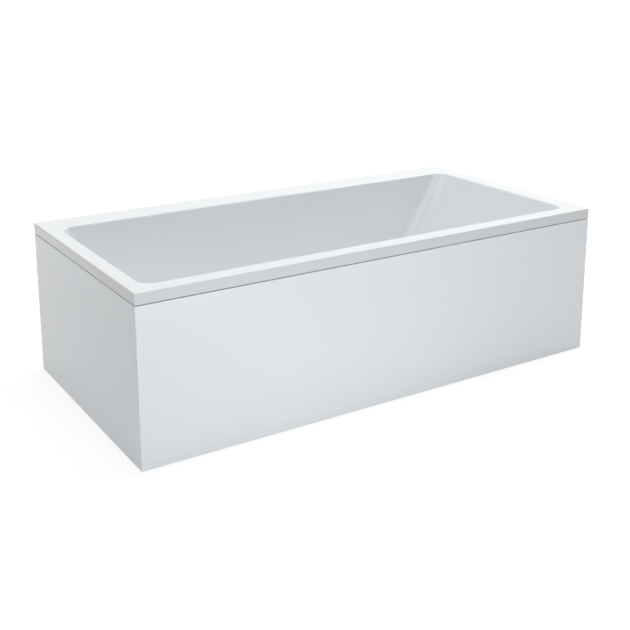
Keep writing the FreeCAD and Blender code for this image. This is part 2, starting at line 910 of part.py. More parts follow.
def trap_body():
    dish = upright(trap_r, waste_x, middle_y, trap_lift, trap_top)
    socket = cylinder(outlet_r + outlet_socket_wall, vec(waste_x, middle_y, outlet_z), y_axis,
                      trap_r + outlet_socket_length)
    inside = upright(trap_r - trap_wall, waste_x, middle_y, trap_lift, trap_top - trap_wall)
    shell = joined([dish, socket]).cut(inside)
    socket_bore = cylinder(outlet_r + running_gap, vec(waste_x, middle_y, outlet_z), y_axis,
                           trap_r + outlet_socket_length)
    shell = shell.cut(socket_bore)
    dip = upright(waste_thread_r, waste_x, middle_y, trap_lift + dip_clear, trap_top)
    bore = upright(waste_thread_r - waste_thread_wall, waste_x, middle_y, trap_lift + dip_clear, trap_top)
    return joined([shell, dip]).cut(bore)


def trap_cap():
    low = trap_lift - trap_cap_floor
    cap = upright(trap_cap_r, waste_x, middle_y, low, low + trap_cap_h)
    return cap.cut(upright(trap_r + running_gap, waste_x, middle_y, trap_lift, low + trap_cap_h))


def trap_seal():
    return ring(waste_thread_r, waste_thread_r - waste_thread_wall, waste_x, middle_y,
                trap_top, thread_under)


def ribbed_nut(radius, bore_r, run):
    """A hand-tight nut in its own frame along +Z, with grip ribs round it."""
    nut = cylinder(radius - nut_rib_h, vec(0, 0, 0), z_axis, run)
    ribs = []
    for rib in range(nut_ribs):
        rib_box = box(radius - 2 * nut_rib_h, radius, -nut_rib_w / 2, nut_rib_w / 2, 0, run)
        rib_box.Placement = FreeCAD.Placement(vec(0, 0, 0), FreeCAD.Rotation(z_axis, 360 / nut_ribs * rib))
        ribs.append(rib_box)
    return joined([nut] + ribs).cut(cylinder(bore_r, vec(0, 0, 0), z_axis, run))


def union_nut():
    nut = ribbed_nut(union_nut_r, waste_thread_r + running_gap, union_nut_h)
    nut.translate(vec(waste_x, middle_y, thread_under))
    return nut


def outlet_nut():
    nut = ribbed_nut(outlet_nut_r, outlet_r + outlet_socket_wall + running_gap, outlet_nut_h)
    nut.Placement = FreeCAD.Placement(
        vec(waste_x, middle_y + trap_r + outlet_socket_length - outlet_nut_h + outlet_nut_step, outlet_z),
        FreeCAD.Rotation(x_axis, -90))
    return nut


def outlet_pipe():
    pipe = tube(outlet_r, outlet_r - outlet_wall, vec(waste_x, outlet_start_y, outlet_z), y_axis,
                outlet_end_y - outlet_start_y)
    # a shallow groove marks how far a pipe socket goes on
    mark = vec(waste_x, outlet_end_y - outlet_grip - outlet_mark_w, outlet_z)
    return pipe.cut(tube(outlet_r + 1, outlet_r - outlet_mark_depth, mark, y_axis, outlet_mark_w))


# ---- overflow ----
overflow_z = height - overflow_below_rim
cup_mouth = -(shell_t + overflow_seal_t)
cup_back = cup_mouth - overflow_cup_depth
spindle_far = cup_back + overflow_cup_wall + knob_gap
knob_low = faceplate_t + knob_gap


def at_overflow(shape):
    """Moves a shape drawn on +Z so that its origin is on the foot wall and +Z points into the well."""
    shape.Placement = FreeCAD.Placement(
        vec(foot_wall(overflow_z), middle_y, overflow_z),
        FreeCAD.Rotation(y_axis, 90 - foot_slope)).multiply(shape.Placement)
    return shape


def hose_x():
    depth = shell_t + overflow_seal_t + overflow_cup_depth / 2
    return foot_wall(overflow_z) - depth * lean(foot_slope)


def spigot_low_z():
    return overflow_z - overflow_spigot_drop


def overflow_faceplate():
    plate = tube(faceplate_r, neck_r - neck_wall, vec(0, 0, 0), z_axis, faceplate_t)
    neck = tube(neck_r, neck_r - neck_wall, vec(0, 0, -neck_length), z_axis, neck_length)
    bush = cylinder(bush_r, vec(0, 0, -spoke_h), z_axis, spoke_h)
    spokes = []
    for side in range(3):
        spoke = box(0, neck_r - neck_wall / 2, -spoke_w / 2, spoke_w / 2, -spoke_h, 0)
        spoke.Placement = FreeCAD.Placement(vec(0, 0, 0), FreeCAD.Rotation(z_axis, 120 * side))
        spokes.append(spoke)
    bore = cylinder(stem_r + running_gap, vec(0, 0, -spoke_h), z_axis, spoke_h)
    return at_overflow(joined([plate, neck, bush] + spokes).cut(bore))


def overflow_seal():
    return at_overflow(tube(overflow_flange_r - 1, neck_r + seal_squeeze, vec(0, 0, cup_mouth), z_axis,
                            overflow_seal_t))


def overflow_body():
    cup_outer_r = neck_r + overflow_cup_wall
    flange = at_overflow(cylinder(overflow_flange_r, vec(0, 0, cup_mouth - body_flange_t), z_axis,
                                  body_flange_t))
    cup = at_overflow(cylinder(cup_outer_r, vec(0, 0, cup_back), z_axis, overflow_cup_depth))
    inside = at_overflow(cylinder(neck_r + running_gap, vec(0, 0, cup_back + overflow_cup_wall), z_axis,
                                  overflow_cup_depth))
    spigot = upright(spigot_r, hose_x(), middle_y, spigot_low_z(), overflow_z)
    spigot_bore = upright(spigot_r - spigot_wall, hose_x(), middle_y, spigot_low_z(), overflow_z)
    gland = upright(gland_r, hose_x(), middle_y + cable_offset, cable_top_z(), overflow_z)
    cable_bore = upright(cable_r * 0.5, hose_x(), middle_y + cable_offset, cable_top_z(), overflow_z)
    return without(joined([flange, cup, spigot, gland]), [inside, spigot_bore, cable_bore])


def cable_top_z():
    return overflow_z - neck_r - gland_length


def overflow_knob():
    cap = cylinder(knob_r, vec(0, 0, knob_low), z_axis, knob_h)
    top = knob_low + knob_h
    cap = cap.makeFillet(knob_edge_r, [edge for edge in cap.Edges if edge.CenterOfMass.z > top - 0.1])
    hollow = cylinder(knob_r - knob_wall, vec(0, 0, knob_low), z_axis, knob_h - knob_wall)
    hub = cylinder(bush_r, vec(0, 0, knob_low), z_axis, knob_h - knob_wall)
    slot = box(knob_r - 3 * knob_wall, knob_r + knob_wall, -knob_slot_w / 2, knob_slot_w / 2,
               knob_low, knob_low + knob_slot_h)
    socket = cylinder(stem_r, vec(0, 0, knob_low), z_axis, knob_h - knob_wall)
    return at_overflow(without(joined([cap.cut(hollow), hub]), [slot, socket]))


def knob_spindle():
    spindle = cylinder(stem_r, vec(0, 0, spindle_far), z_axis, knob_low + knob_h - knob_wall - spindle_far)
    crank = cylinder(crank_r, vec(0, 0, spindle_far), z_axis, crank_t)
    return at_overflow(joined([spindle, crank]))


# ---- hose, clips and cable ----
def hose_top_z():
    return spigot_low_z() + hose_grip


def hose_end_x():
    return waste_x - spigot_reach() + hose_grip


def bend_points(x, bend_r, z):
    """Start, middle and end of the quarter turn from straight down at x to level at z."""
    centre = vec(x + bend_r, 0, z + bend_r)
    points = []
    for turn in (180, 225, 270):
        turn = math.radians(turn)
        points.append(centre + vec(bend_r * math.cos(turn), 0, bend_r * math.sin(turn)))
    return points


def hose_stations(spacing):
    """Points and directions along the hose, one each spacing, between its two plain cuffs."""
    drop_from = hose_top_z() - hose_cuff
    bend_top = hose_z + hose_bend_r
    drop = drop_from - bend_top
    turn = hose_bend_r * math.pi / 2
    level = hose_end_x() - hose_cuff - (hose_x() + hose_bend_r)
    total = drop + turn + level
    count = int(total / spacing)
    stations = []
    for step in range(count + 1):
        run = total * step / count
        if run <= drop:
            stations.append((vec(hose_x(), middle_y, drop_from - run), vec(0, 0, -1)))
        elif run <= drop + turn:
            angle = (run - drop) / hose_bend_r
            point = vec(hose_x() + hose_bend_r * (1 - math.cos(angle)), middle_y,
                        bend_top - hose_bend_r * math.sin(angle))
            stations.append((point, vec(math.sin(angle), 0, -math.cos(angle))))
        else:
            point = vec(hose_x() + hose_bend_r + run - drop - turn, middle_y, hose_z)
            stations.append((point, vec(1, 0, 0)))
    return stations


def circle_at(point, direction, radius):
    """A circle whose own X axis is always the row's Y axis, so that a loft through many never twists."""
    circle = Part.Wire([Part.Circle(vec(0, 0, 0), z_axis, radius).toShape()])
    side = direction.cross(y_axis)
    circle.Placement = FreeCAD.Placement(point, FreeCAD.Rotation(y_axis, side, direction, "ZXY"))
    return circle


def overflow_hose():
    profile = (hose_root_r, hose_crest_r, hose_crest_r, hose_root_r)
    stations = hose_stations(rib_pitch / len(profile))
    sections = [circle_at(vec(hose_x(), middle_y, hose_top_z()), vec(0, 0, -1), hose_root_r)]
    for step, (point, direction) in enumerate(stations):
        sections.append(circle_at(point, direction, profile[step % len(profile)]))
    sections[-1] = circle_at(stations[-1][0], stations[-1][1], hose_root_r)
    sections.append(circle_at(vec(hose_end_x(), middle_y, hose_z), vec(1, 0, 0), hose_root_r))
    ribbed = Part.makeLoft(sections, True, True)
    bore = follow(vec(hose_x(), middle_y, hose_top_z()), vec(hose_end_x(), middle_y, hose_z),
                  hose_bend_r, spigot_r)
    return ribbed.cut(bore)


def follow(start, end, bend_r, radius):
    """A round rod that drops from start, turns by a quarter and runs level to end."""
    first, middle, last = [point + vec(0, start.y, 0) for point in bend_points(start.x, bend_r, end.z)]
    path = Part.Wire([
        Part.makeLine(start, first),
        Part.Arc(first, middle, last).toShape(),
        Part.makeLine(last, end),
    ])
    section = circle_at(start, vec(0, 0, -1), radius)
    return path.makePipeShell([section], True, False)


def clip_band(radius):
    """A worm-drive hose clip in its own frame along +Z."""
    band = tube(radius + clip_band_t, radius, vec(0, 0, 0), z_axis, clip_band_w)
    half = clip_housing_w / 2
    inset = clip_band_w / 10
    housing = box(radius, radius + clip_housing_h, -half, half, inset, clip_band_w - inset)
    screw = cylinder(clip_housing_h / 2, vec(radius + clip_housing_h / 2, half, clip_band_w / 2), y_axis,
                     clip_screw_length)
    return joined([band, housing, screw]).cut(cylinder(radius, vec(0, 0, 0), z_axis, clip_band_w))


def hose_clips():
    upper = clip_band(hose_root_r)
    inset = hose_grip / 2 + clip_band_w / 2
    aside = FreeCAD.Rotation(z_axis, -90)
    upper.Placement = FreeCAD.Placement(vec(hose_x(), middle_y, hose_top_z() - inset), aside)
    lower = clip_band(hose_root_r)
    lower.Placement = FreeCAD.Placement(vec(hose_end_x() - inset, middle_y, hose_z),
                                        FreeCAD.Rotation(y_axis, 90).multiply(aside))
    return Part.makeCompound([upper, lower])


def pop_up_cable():
    start = vec(hose_x(), middle_y + cable_offset, cable_top_z())
    end = vec(cable_end_x(), middle_y + cable_offset, hose_z)
    return follow(start, end, hose_bend_r, cable_r)


def cable_ties():
    """Each tie is a strap round the hose and the cable beside it."""
    outer_r = hose_crest_r + tie_gap + tie_t
    ties = []
    for share in (0.25, 0.6):
        z = hose_z + hose_bend_r + (hose_top_z() - hose_cuff - hose_z - hose_bend_r) * share
        hose_loop = upright(outer_r, hose_x(), middle_y, z, z + tie_w)
        cable_loop = upright(cable_r + tie_gap + tie_t, hose_x(), middle_y + cable_offset, z, z + tie_w)
        hose_hole = upright(outer_r - tie_t, hose_x(), middle_y, z, z + tie_w)
        cable_hole = upright(cable_r + tie_gap, hose_x(), middle_y + cable_offset, z, z + tie_w)
        head = box(hose_x() + outer_r - tie_t, hose_x() + outer_r + tie_head_h,
                   middle_y - tie_head_w / 2, middle_y + tie_head_w / 2, z, z + tie_w)
        ties.append(joined([hose_loop, cable_loop, head]).cut(hose_hole).cut(cable_hole))
    return Part.makeCompound(ties)


# ---- all nodes ----
makers = [
    tub_shell, base_board,
    rim_batten_front, rim_batten_back, rim_batten_foot, rim_batten_head,
    front_panel, end_panel, front_panel_backer, end_panel_backer,
    panel_corner_angle, corner_angle_screws,
    floor_batten_front, floor_batten_end, magnet_catches, striker_plates,
    panel_clips, clip_screws, wall_brackets, bracket_screws,
    cross_rail_foot, cross_rail_head, rail_screws, centre_foot_plate, plate_screws, lock_nuts,
    waste_flange, waste_seal_upper, waste_seal_lower, waste_body,
    waste_plug, plug_seal, plug_stem, plug_lever, lever_pin,
    union_nut, trap_body, trap_seal, trap_cap, outlet_nut, outlet_pipe,
    overflow_faceplate, overflow_seal, overflow_body, overflow_knob, knob_spindle,
    overflow_hose, hose_clips, pop_up_cable, cable_ties,
]


def main():
    os.makedirs("parts", exist_ok=True)
    nodes = {maker.__name__: maker() for maker in makers}
    for name in foot_places():
        nodes["foot_rod_" + name] = foot_rod(name)
        nodes["foot_pad_" + name] = foot_pad(name)
    for name, shape in nodes.items():
        if not shape.isValid():
            print("not valid:", name)
        shape.exportStep("parts/" + name + ".step")
    print(len(nodes), "nodes; plug lift", round(plug_lift, 3))


main()
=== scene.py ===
import json
import math

import bmesh
import bpy
from mathutils import Matrix, Vector


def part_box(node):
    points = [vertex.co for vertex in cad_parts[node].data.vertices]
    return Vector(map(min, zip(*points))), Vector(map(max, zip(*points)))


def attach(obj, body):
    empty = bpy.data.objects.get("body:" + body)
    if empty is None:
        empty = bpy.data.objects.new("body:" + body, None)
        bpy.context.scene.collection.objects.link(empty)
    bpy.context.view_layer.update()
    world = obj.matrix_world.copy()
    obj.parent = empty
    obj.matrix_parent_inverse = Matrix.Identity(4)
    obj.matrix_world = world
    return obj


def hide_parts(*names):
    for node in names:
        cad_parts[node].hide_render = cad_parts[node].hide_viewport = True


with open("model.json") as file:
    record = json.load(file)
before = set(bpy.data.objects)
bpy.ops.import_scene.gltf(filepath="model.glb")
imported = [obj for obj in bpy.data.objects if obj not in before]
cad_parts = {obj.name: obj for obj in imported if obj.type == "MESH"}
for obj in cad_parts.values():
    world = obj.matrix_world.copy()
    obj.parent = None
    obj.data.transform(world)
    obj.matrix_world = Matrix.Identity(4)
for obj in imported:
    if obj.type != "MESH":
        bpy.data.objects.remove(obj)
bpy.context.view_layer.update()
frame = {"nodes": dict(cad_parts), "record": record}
nodes = frame["nodes"]
mm = 0.001
print("frame loaded:", len(nodes), "nodes")

# the photograph's place, a little above the rim and off the near left corner; the shift is kept
# small and the camera tilts instead, so that the other views stay in frame
view = {
    "place": (-1.9249, -3.0102, 1.4862),
    "turn": 0.5650,
    "down": 0.2385,
    "lens": 58.56,
    "sensor": 36.0,
    "shiftUp": -0.1873,
    "farthest": 200.0,
}


def makeCamera():
    data = bpy.data.cameras.new("camera")
    data.sensor_fit = "HORIZONTAL"
    data.sensor_width = view["sensor"]
    data.lens = view["lens"]
    data.shift_y = view["shiftUp"]
    data.clip_end = view["farthest"]
    camera = bpy.data.objects.new("camera", data)
    camera.location = view["place"]
    camera.rotation_euler = (math.pi / 2 - view["down"], 0.0, -view["turn"])
    bpy.context.collection.objects.link(camera)
    bpy.context.scene.camera = camera


makeCamera()
print("camera set")


class Wire:  # a shader socket that can stand in sums
    def __init__(self, tree, socket):
        self.tree = tree
        self.socket = socket

    def beside(self, name):  # another output of the same node
        return Wire(self.tree, self.socket.node.outputs[name])

    def sum(self, operation, other, swap=False):
        node = self.tree.nodes.new("ShaderNodeMath")
        node.operation = operation
        for slot, value in enumerate((other, self) if swap else (self, other)):
            if isinstance(value, Wire):
                self.tree.links.new(value.socket, node.inputs[slot])
            else:
                node.inputs[slot].default_value = value
        return Wire(self.tree, node.outputs[0])

    def __add__(self, other):
        return self.sum("ADD", other)

    def __sub__(self, other):
        return self.sum("SUBTRACT", other)

    def __rsub__(self, other):
        return self.sum("SUBTRACT", other, True)

    def __mul__(self, other):
        return self.sum("MULTIPLY", other)

    def __truediv__(self, other):
        return self.sum("DIVIDE", other)

    def __rtruediv__(self, other):
        return self.sum("DIVIDE", other, True)

    def __pow__(self, other):
        return self.sum("POWER", other)

    __radd__ = __add__
    __rmul__ = __mul__


class Graph:  # puts nodes into one node tree
    def __init__(self, tree):
        self.tree = tree

    def add(self, kind, settings=None, sockets=None, out=0):
        node = self.tree.nodes.new(kind)
        for name, value in (settings or {}).items():
            setattr(node, name, value)
        self.feed(node, sockets or {})
        return Wire(self.tree, node.outputs[out])

    def feed(self, node, sockets):  # gives each named or numbered socket its value or its link
        for name, value in sockets.items():
            socket = node.inputs[name]
            if isinstance(value, Wire):
                self.tree.links.new(value.socket, socket)
            else:
                socket.default_value = value + (1.0,) if socket.type == "RGBA" else value

    def seen(self):  # 1 for what the camera, a mirror or glass looks at, else 0
        ray = self.add("ShaderNodeLightPath", out="Is Camera Ray")
        return (ray + ray.beside("Is Glossy Ray") + ray.beside("Is Transmission Ray")).sum("MINIMUM", 1.0)


class Finish(Graph):  # one material, its patterns laid on Object coordinates
    def __init__(self, name, plain):
        self.material = bpy.data.materials.new(name)
        self.material.use_nodes = True
        super().__init__(self.material.node_tree)
        self.surface = self.tree.nodes["Principled BSDF"]
        self.place = self.add("ShaderNodeTexCoord", out="Object")
        self.feed(self.surface, plain)

    def stretched(self, scale):  # the place, with its pattern stretched along each axis
        return self.add("ShaderNodeMapping", {"vector_type": "POINT"},
                        {"Vector": self.place, "Scale": scale}, "Vector")

    def noise(self, scale, detail=2.0, roughness=0.5, place=None):
        return self.add("ShaderNodeTexNoise", None, {
            "Vector": place or self.place, "Scale": scale, "Detail": detail, "Roughness": roughness}, "Fac")

    def cells(self, scale, place=None, out="Distance"):
        return self.add("ShaderNodeTexVoronoi", {"feature": "F1"},
                        {"Vector": place or self.place, "Scale": scale}, out)

    def flakes(self, scale, channel):  # cells that have one chance tone each
        return self.add("ShaderNodeSeparateColor", None, {"Color": self.cells(scale, out="Color")}, channel)

    def band(self, value, low, high, dark=0.0, light=1.0):  # spreads low..high over dark..light
        return self.add("ShaderNodeMapRange", {"clamp": True}, {
            "Value": value, "From Min": low, "From Max": high, "To Min": dark, "To Max": light}, "Result")

    def tint(self, mask, first, second):  # the Mix node's own numbers for its factor and its two colours
        return self.add("ShaderNodeMix", {"data_type": "RGBA", "blend_type": "MIX"},
                        {0: mask, 6: first, 7: second}, 2)

    def relief(self, height, depth, strength=1.0, under=None):
        sockets = {"Height": height, "Distance": depth, "Strength": strength}
        if under is not None:
            sockets["Normal"] = under
        return self.add("ShaderNodeBump", None, sockets, "Normal")

    def dressed(self, colour, roughness, normal):
        self.feed(self.surface, {"Base Color": colour, "Roughness": roughness, "Normal": normal})
        return self.material


# in all the looks, smooth and rough are the ends of the roughness, a relief is in metres, and a
# number beside a pattern's name is how many of it there are to a metre
acrylic = {
    "ior": 1.49, "coatHaze": 0.03, "drifts": 1.7, "specks": 340.0, "wipes": 9.0, "sways": 2.6, "peels": 420.0,
}


def glossAcrylic(name, look):
    finish = Finish(name, {
        "IOR": acrylic["ior"], "Coat Weight": look["coat"], "Coat Roughness": acrylic["coatHaze"]})
    drift = finish.noise(acrylic["drifts"])  # cast sheet is never quite even
    speck = finish.noise(acrylic["specks"])
    colour = finish.tint(finish.band(drift, 0.35, 0.65), look["cool"], look["warm"])
    wipe = finish.noise(acrylic["wipes"], 4.0, 0.6, finish.stretched((1.0, 1.0, 3.0)))
    roughness = finish.band(wipe + speck * 0.15, 0.4, 0.8, look["smooth"], look["rough"])
    sway = finish.relief(finish.noise(acrylic["sways"], 1.0), look["swayRelief"])
    peel = finish.relief(finish.noise(acrylic["peels"], 1.0), look["peelRelief"], 0.4, sway)
    return finish.dressed(colour, roughness, peel)


tubAcrylic = glossAcrylic("tubAcrylic", {
    "cool": (0.808, 0.838, 0.860), "warm": (0.824, 0.848, 0.864),
    "smooth": 0.10, "rough": 0.17, "coat": 0.25, "swayRelief": 0.0012, "peelRelief": 0.00002,
})
lipAcrylic = glossAcrylic("lipAcrylic", {  # painted shade: a greyer copy of the tub's acrylic darkens the lip's face
    "cool": (0.662, 0.690, 0.710), "warm": (0.676, 0.699, 0.714),
    "smooth": 0.12, "rough": 0.20, "coat": 0.20, "swayRelief": 0.0012, "peelRelief": 0.00002,
})
panelAcrylic = glossAcrylic("panelAcrylic", {
    "cool": (0.794, 0.832, 0.864), "warm": (0.810, 0.843, 0.870),
    "smooth": 0.16, "rough": 0.26, "coat": 0.15, "swayRelief": 0.0022, "peelRelief": 0.00003,
})

backing = {
    "ior": 1.52, "resin": (0.53, 0.50, 0.41), "paleResin": (0.66, 0.64, 0.56), "strand": (0.80, 0.79, 0.74),
    "smooth": 0.26, "rough": 0.58, "strandRelief": 0.0008, "blotchRelief": 0.004,
    "blotches": 11.0, "strandsAlong": 24.0, "strandsAcross": 330.0,
    "turns": ((0.3, 0.5, 0.2), (0.9, -0.4, 1.0), (-0.5, 1.1, 2.1), (1.4, 0.2, 2.8)),
}


def fibreBacking():
    finish = Finish("fibreBacking", {"IOR": backing["ior"]})
    long, thin = 1 / backing["strandsAlong"], 1 / backing["strandsAcross"]
    strands = None
    for turn in backing["turns"]:  # chopped strands lie anyhow
        turned = finish.add("ShaderNodeMapping", {"vector_type": "TEXTURE"}, {
            "Vector": finish.place, "Rotation": turn, "Scale": (long, thin, thin)}, "Vector")
        strand = finish.band(finish.noise(1.0, place=turned), 0.56, 0.66)
        strands = strand if strands is None else strands.sum("MAXIMUM", strand)
    blotch = finish.noise(backing["blotches"], 4.0, 0.6)
    resin = finish.tint(finish.band(blotch, 0.3, 0.7), backing["resin"], backing["paleResin"])
    colour = finish.tint(strands * 0.75, resin, backing["strand"])
    roughness = finish.band(blotch + strands * 0.3, 0.3, 0.9, backing["smooth"], backing["rough"])
    lumps = finish.relief(blotch, backing["blotchRelief"], 0.5)
    return finish.dressed(colour, roughness, finish.relief(strands, backing["strandRelief"], 0.8, lumps))


fibreGlass = fibreBacking()
print("shell finishes made")

hardEdge = 35.0  # degrees; an edge that turns by more is sharp


def intoPiece(bm, name, materials=(), body=None, sharp=hardEdge):
    bmesh.ops.recalc_face_normals(bm, faces=bm.faces[:])
    mesh = bpy.data.meshes.new(name)
    for face in bm.faces:
        face.smooth = True
    bm.to_mesh(mesh)
    bm.free()
    mesh.set_sharp_from_angle(angle=math.radians(sharp))
    for material in materials:
        mesh.materials.append(material)
    piece = bpy.data.objects.new(name, mesh)
    bpy.context.collection.objects.link(piece)
    if body:
        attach(piece, body)
    return piece


def evenShading(piece):  # flat faces shade flat beside a round
    modifier = piece.modifiers.new("evenShading", "WEIGHTED_NORMAL")
    modifier.keep_sharp = True
    modifier.weight = 60
    return piece


def settle(piece):  # applies every modifier for good
    graph = bpy.context.evaluated_depsgraph_get()
    mesh = bpy.data.meshes.new_from_object(piece.evaluated_get(graph))
    piece.modifiers.clear()
    old = piece.data
    piece.data = mesh
    bpy.data.meshes.remove(old)


def drilled(piece, cutters, operation="DIFFERENCE"):  # cuts each bmesh solid in cutters out of a piece
    for bm in cutters:
        tool = intoPiece(bm, "drill")
        cut = piece.modifiers.new("cut", "BOOLEAN")
        cut.object = tool
        cut.operation = operation
        cut.solver = "EXACT"
        settle(piece)
        bpy.data.objects.remove(tool, do_unlink=True)
    piece.data.set_sharp_from_angle(angle=math.radians(hardEdge))
    return piece


def rod(radius, start, end, steps):
    bm = bmesh.new()
    start = Vector(start)
    run = Vector(end) - start
    bmesh.ops.create_cone(bm, cap_ends=True, segments=steps, radius1=radius, radius2=radius, depth=run.length)
    turn = Vector((0, 0, 1)).rotation_difference(run).to_matrix().to_4x4()
    bmesh.ops.transform(bm, matrix=Matrix.Translation(start + run / 2) @ turn, verts=bm.verts[:])
    return bm


def grownRing(bm, ring, points):  # a first ring of points, or the next one, grown from the last
    if ring is None:
        return bmesh.ops.create_circle(bm, segments=points, radius=1.0)["verts"]
    number = {vert: count for count, vert in enumerate(ring)}
    edges = [bm.edges.get((vert, ring[count - 1])) for count, vert in enumerate(ring)]
    made = bmesh.ops.extrude_edge_only(bm, edges=edges)["geom"]
    grown = [vert for vert in made if isinstance(vert, bmesh.types.BMVert)]
    return sorted(grown, key=lambda vert: next(
        number[edge.other_vert(vert)] for edge in vert.link_edges if edge.other_vert(vert) in number))


# a rim is the width of the flat deck on that side, a lean is in degrees from upright
tub = {
    "length": 1800 * mm, "width": 900 * mm, "height": 550 * mm, "wall": 5 * mm, "lip": 37.5 * mm,
    "rimFoot": 52 * mm, "rimHead": 70 * mm, "rimFront": 60 * mm, "rimBack": 116 * mm,
    "leanFoot": 10.0, "leanHead": 32.0, "leanFront": 8.0, "leanBack": 8.0,
    "floor": 120 * mm, "fall": 6 * mm,
    "cornerTop": 45 * mm, "cornerFloor": 120 * mm, "cornerLip": 3 * mm, "cornerUnder": 0.4 * mm,
    "lipDraft": 1.1 * mm, "lipToe": 0.8 * mm, "bend": 70 * mm, "innerEdge": 8 * mm, "outerEdge": 2.5 * mm,
    "cornerSteps": 14, "bendSteps": 10, "innerSteps": 6, "outerSteps": 4, "toeSteps": 3,
}
sides = ("Foot", "Front", "Head", "Back")


def leanOf(side):
    return math.radians(tub["lean" + side])


def wallAt(side, z):  # how far in from the outer face a wall of the well stands at height z
    return tub["rim" + side] + (tub["height"] - z) * math.tan(leanOf(side))


# the holes for the waste and the overflow, with how far each cut reaches above and through
waste = {
    "fromWall": 135 * mm, "seat": 36.5 * mm, "seatDepth": 0.5 * mm, "hole": 26 * mm, "above": 8 * mm,
    "through": 20 * mm,
}
waste["place"] = Vector((-tub["length"] / 2 + wallAt("Foot", tub["floor"]) + waste["fromWall"],
                         (tub["rimFront"] - tub["rimBack"]) / 2, tub["floor"]))
overflow = {"hole": 26.5 * mm, "height": tub["height"] - 82 * mm, "through": 20 * mm}
overflow["place"] = Vector((
    -tub["length"] / 2 + wallAt("Foot", overflow["height"]), waste["place"].y, overflow["height"]))
overflow["axis"] = Vector((math.cos(leanOf("Foot")), 0.0, math.sin(leanOf("Foot"))))


def nextRing(bm, ring, inset, height, radius):  # one rounded rectangle, each side at its own height
    steps = tub["cornerSteps"]
    ring = grownRing(bm, ring, 4 * (steps + 1))
    for count, vert in enumerate(ring):
        corner, step = divmod(count, steps + 1)
        turn = math.pi + (corner + step / steps) * math.pi / 2
        before, after = sides[corner], sides[(corner + 1) % 4]
        left, front = corner in (0, 3), corner in (0, 1)
        middleX = (tub["length"] / 2 - inset["Foot" if left else "Head"] - radius) * (-1 if left else 1)
        middleY = (tub["width"] / 2 - inset["Front" if front else "Back"] - radius) * (-1 if front else 1)
        level = height[before] + (height[after] - height[before]) * step / steps
        vert.co = (middleX + radius * math.cos(turn), middleY + radius * math.sin(turn), level)
    return ring


def cornerAt(z, grow):  # the well's corners widen towards the floor
    low = tub["floor"] - grow - 2 * tub["fall"] - tub["wall"]
    share = (min(z, tub["height"]) - low) / (tub["height"] - low)
    return tub["cornerFloor"] + grow + (tub["cornerTop"] - tub["cornerFloor"]) * share


def wellRing(bm, ring, grow, place):  # place(side) gives a side's inset and height
    inset, height, extra = {}, {}, 0.0
    for side in sides:
        inset[side], height[side] = place(side)
        extra += (inset[side] - wallAt(side, height[side]) + grow / math.cos(leanOf(side))) / 4
    return nextRing(bm, ring, inset, height, cornerAt(sum(height.values()) / 4, grow) - extra)


def floorBend(grow, share):  # share 0 leaves the wall, share 1 meets the floor
    def place(side):
        lean = leanOf(side)
        radius = tub["bend"] + grow
        level = tub["floor"] - grow
        turn = lean + share * (math.pi / 2 - lean)
        toe = wallAt(side, level) - grow / math.cos(lean)
        reach = radius * math.tan((math.pi / 2 - lean) / 2)
        return toe + reach - radius * math.cos(turn), level + radius - radius * math.sin(turn)
    return place


def rimBend(share):  # share 0 is on the flat rim, share 1 on the wall
    def place(side):
        lean = leanOf(side)
        radius = tub["innerEdge"]
        turn = share * (math.pi / 2 - lean)
        reach = radius * math.tan((math.pi / 2 - lean) / 2)
        inset = tub["rim" + side] - reach + radius * math.sin(turn)
        return inset, tub["height"] - radius + radius * math.cos(turn)
    return place


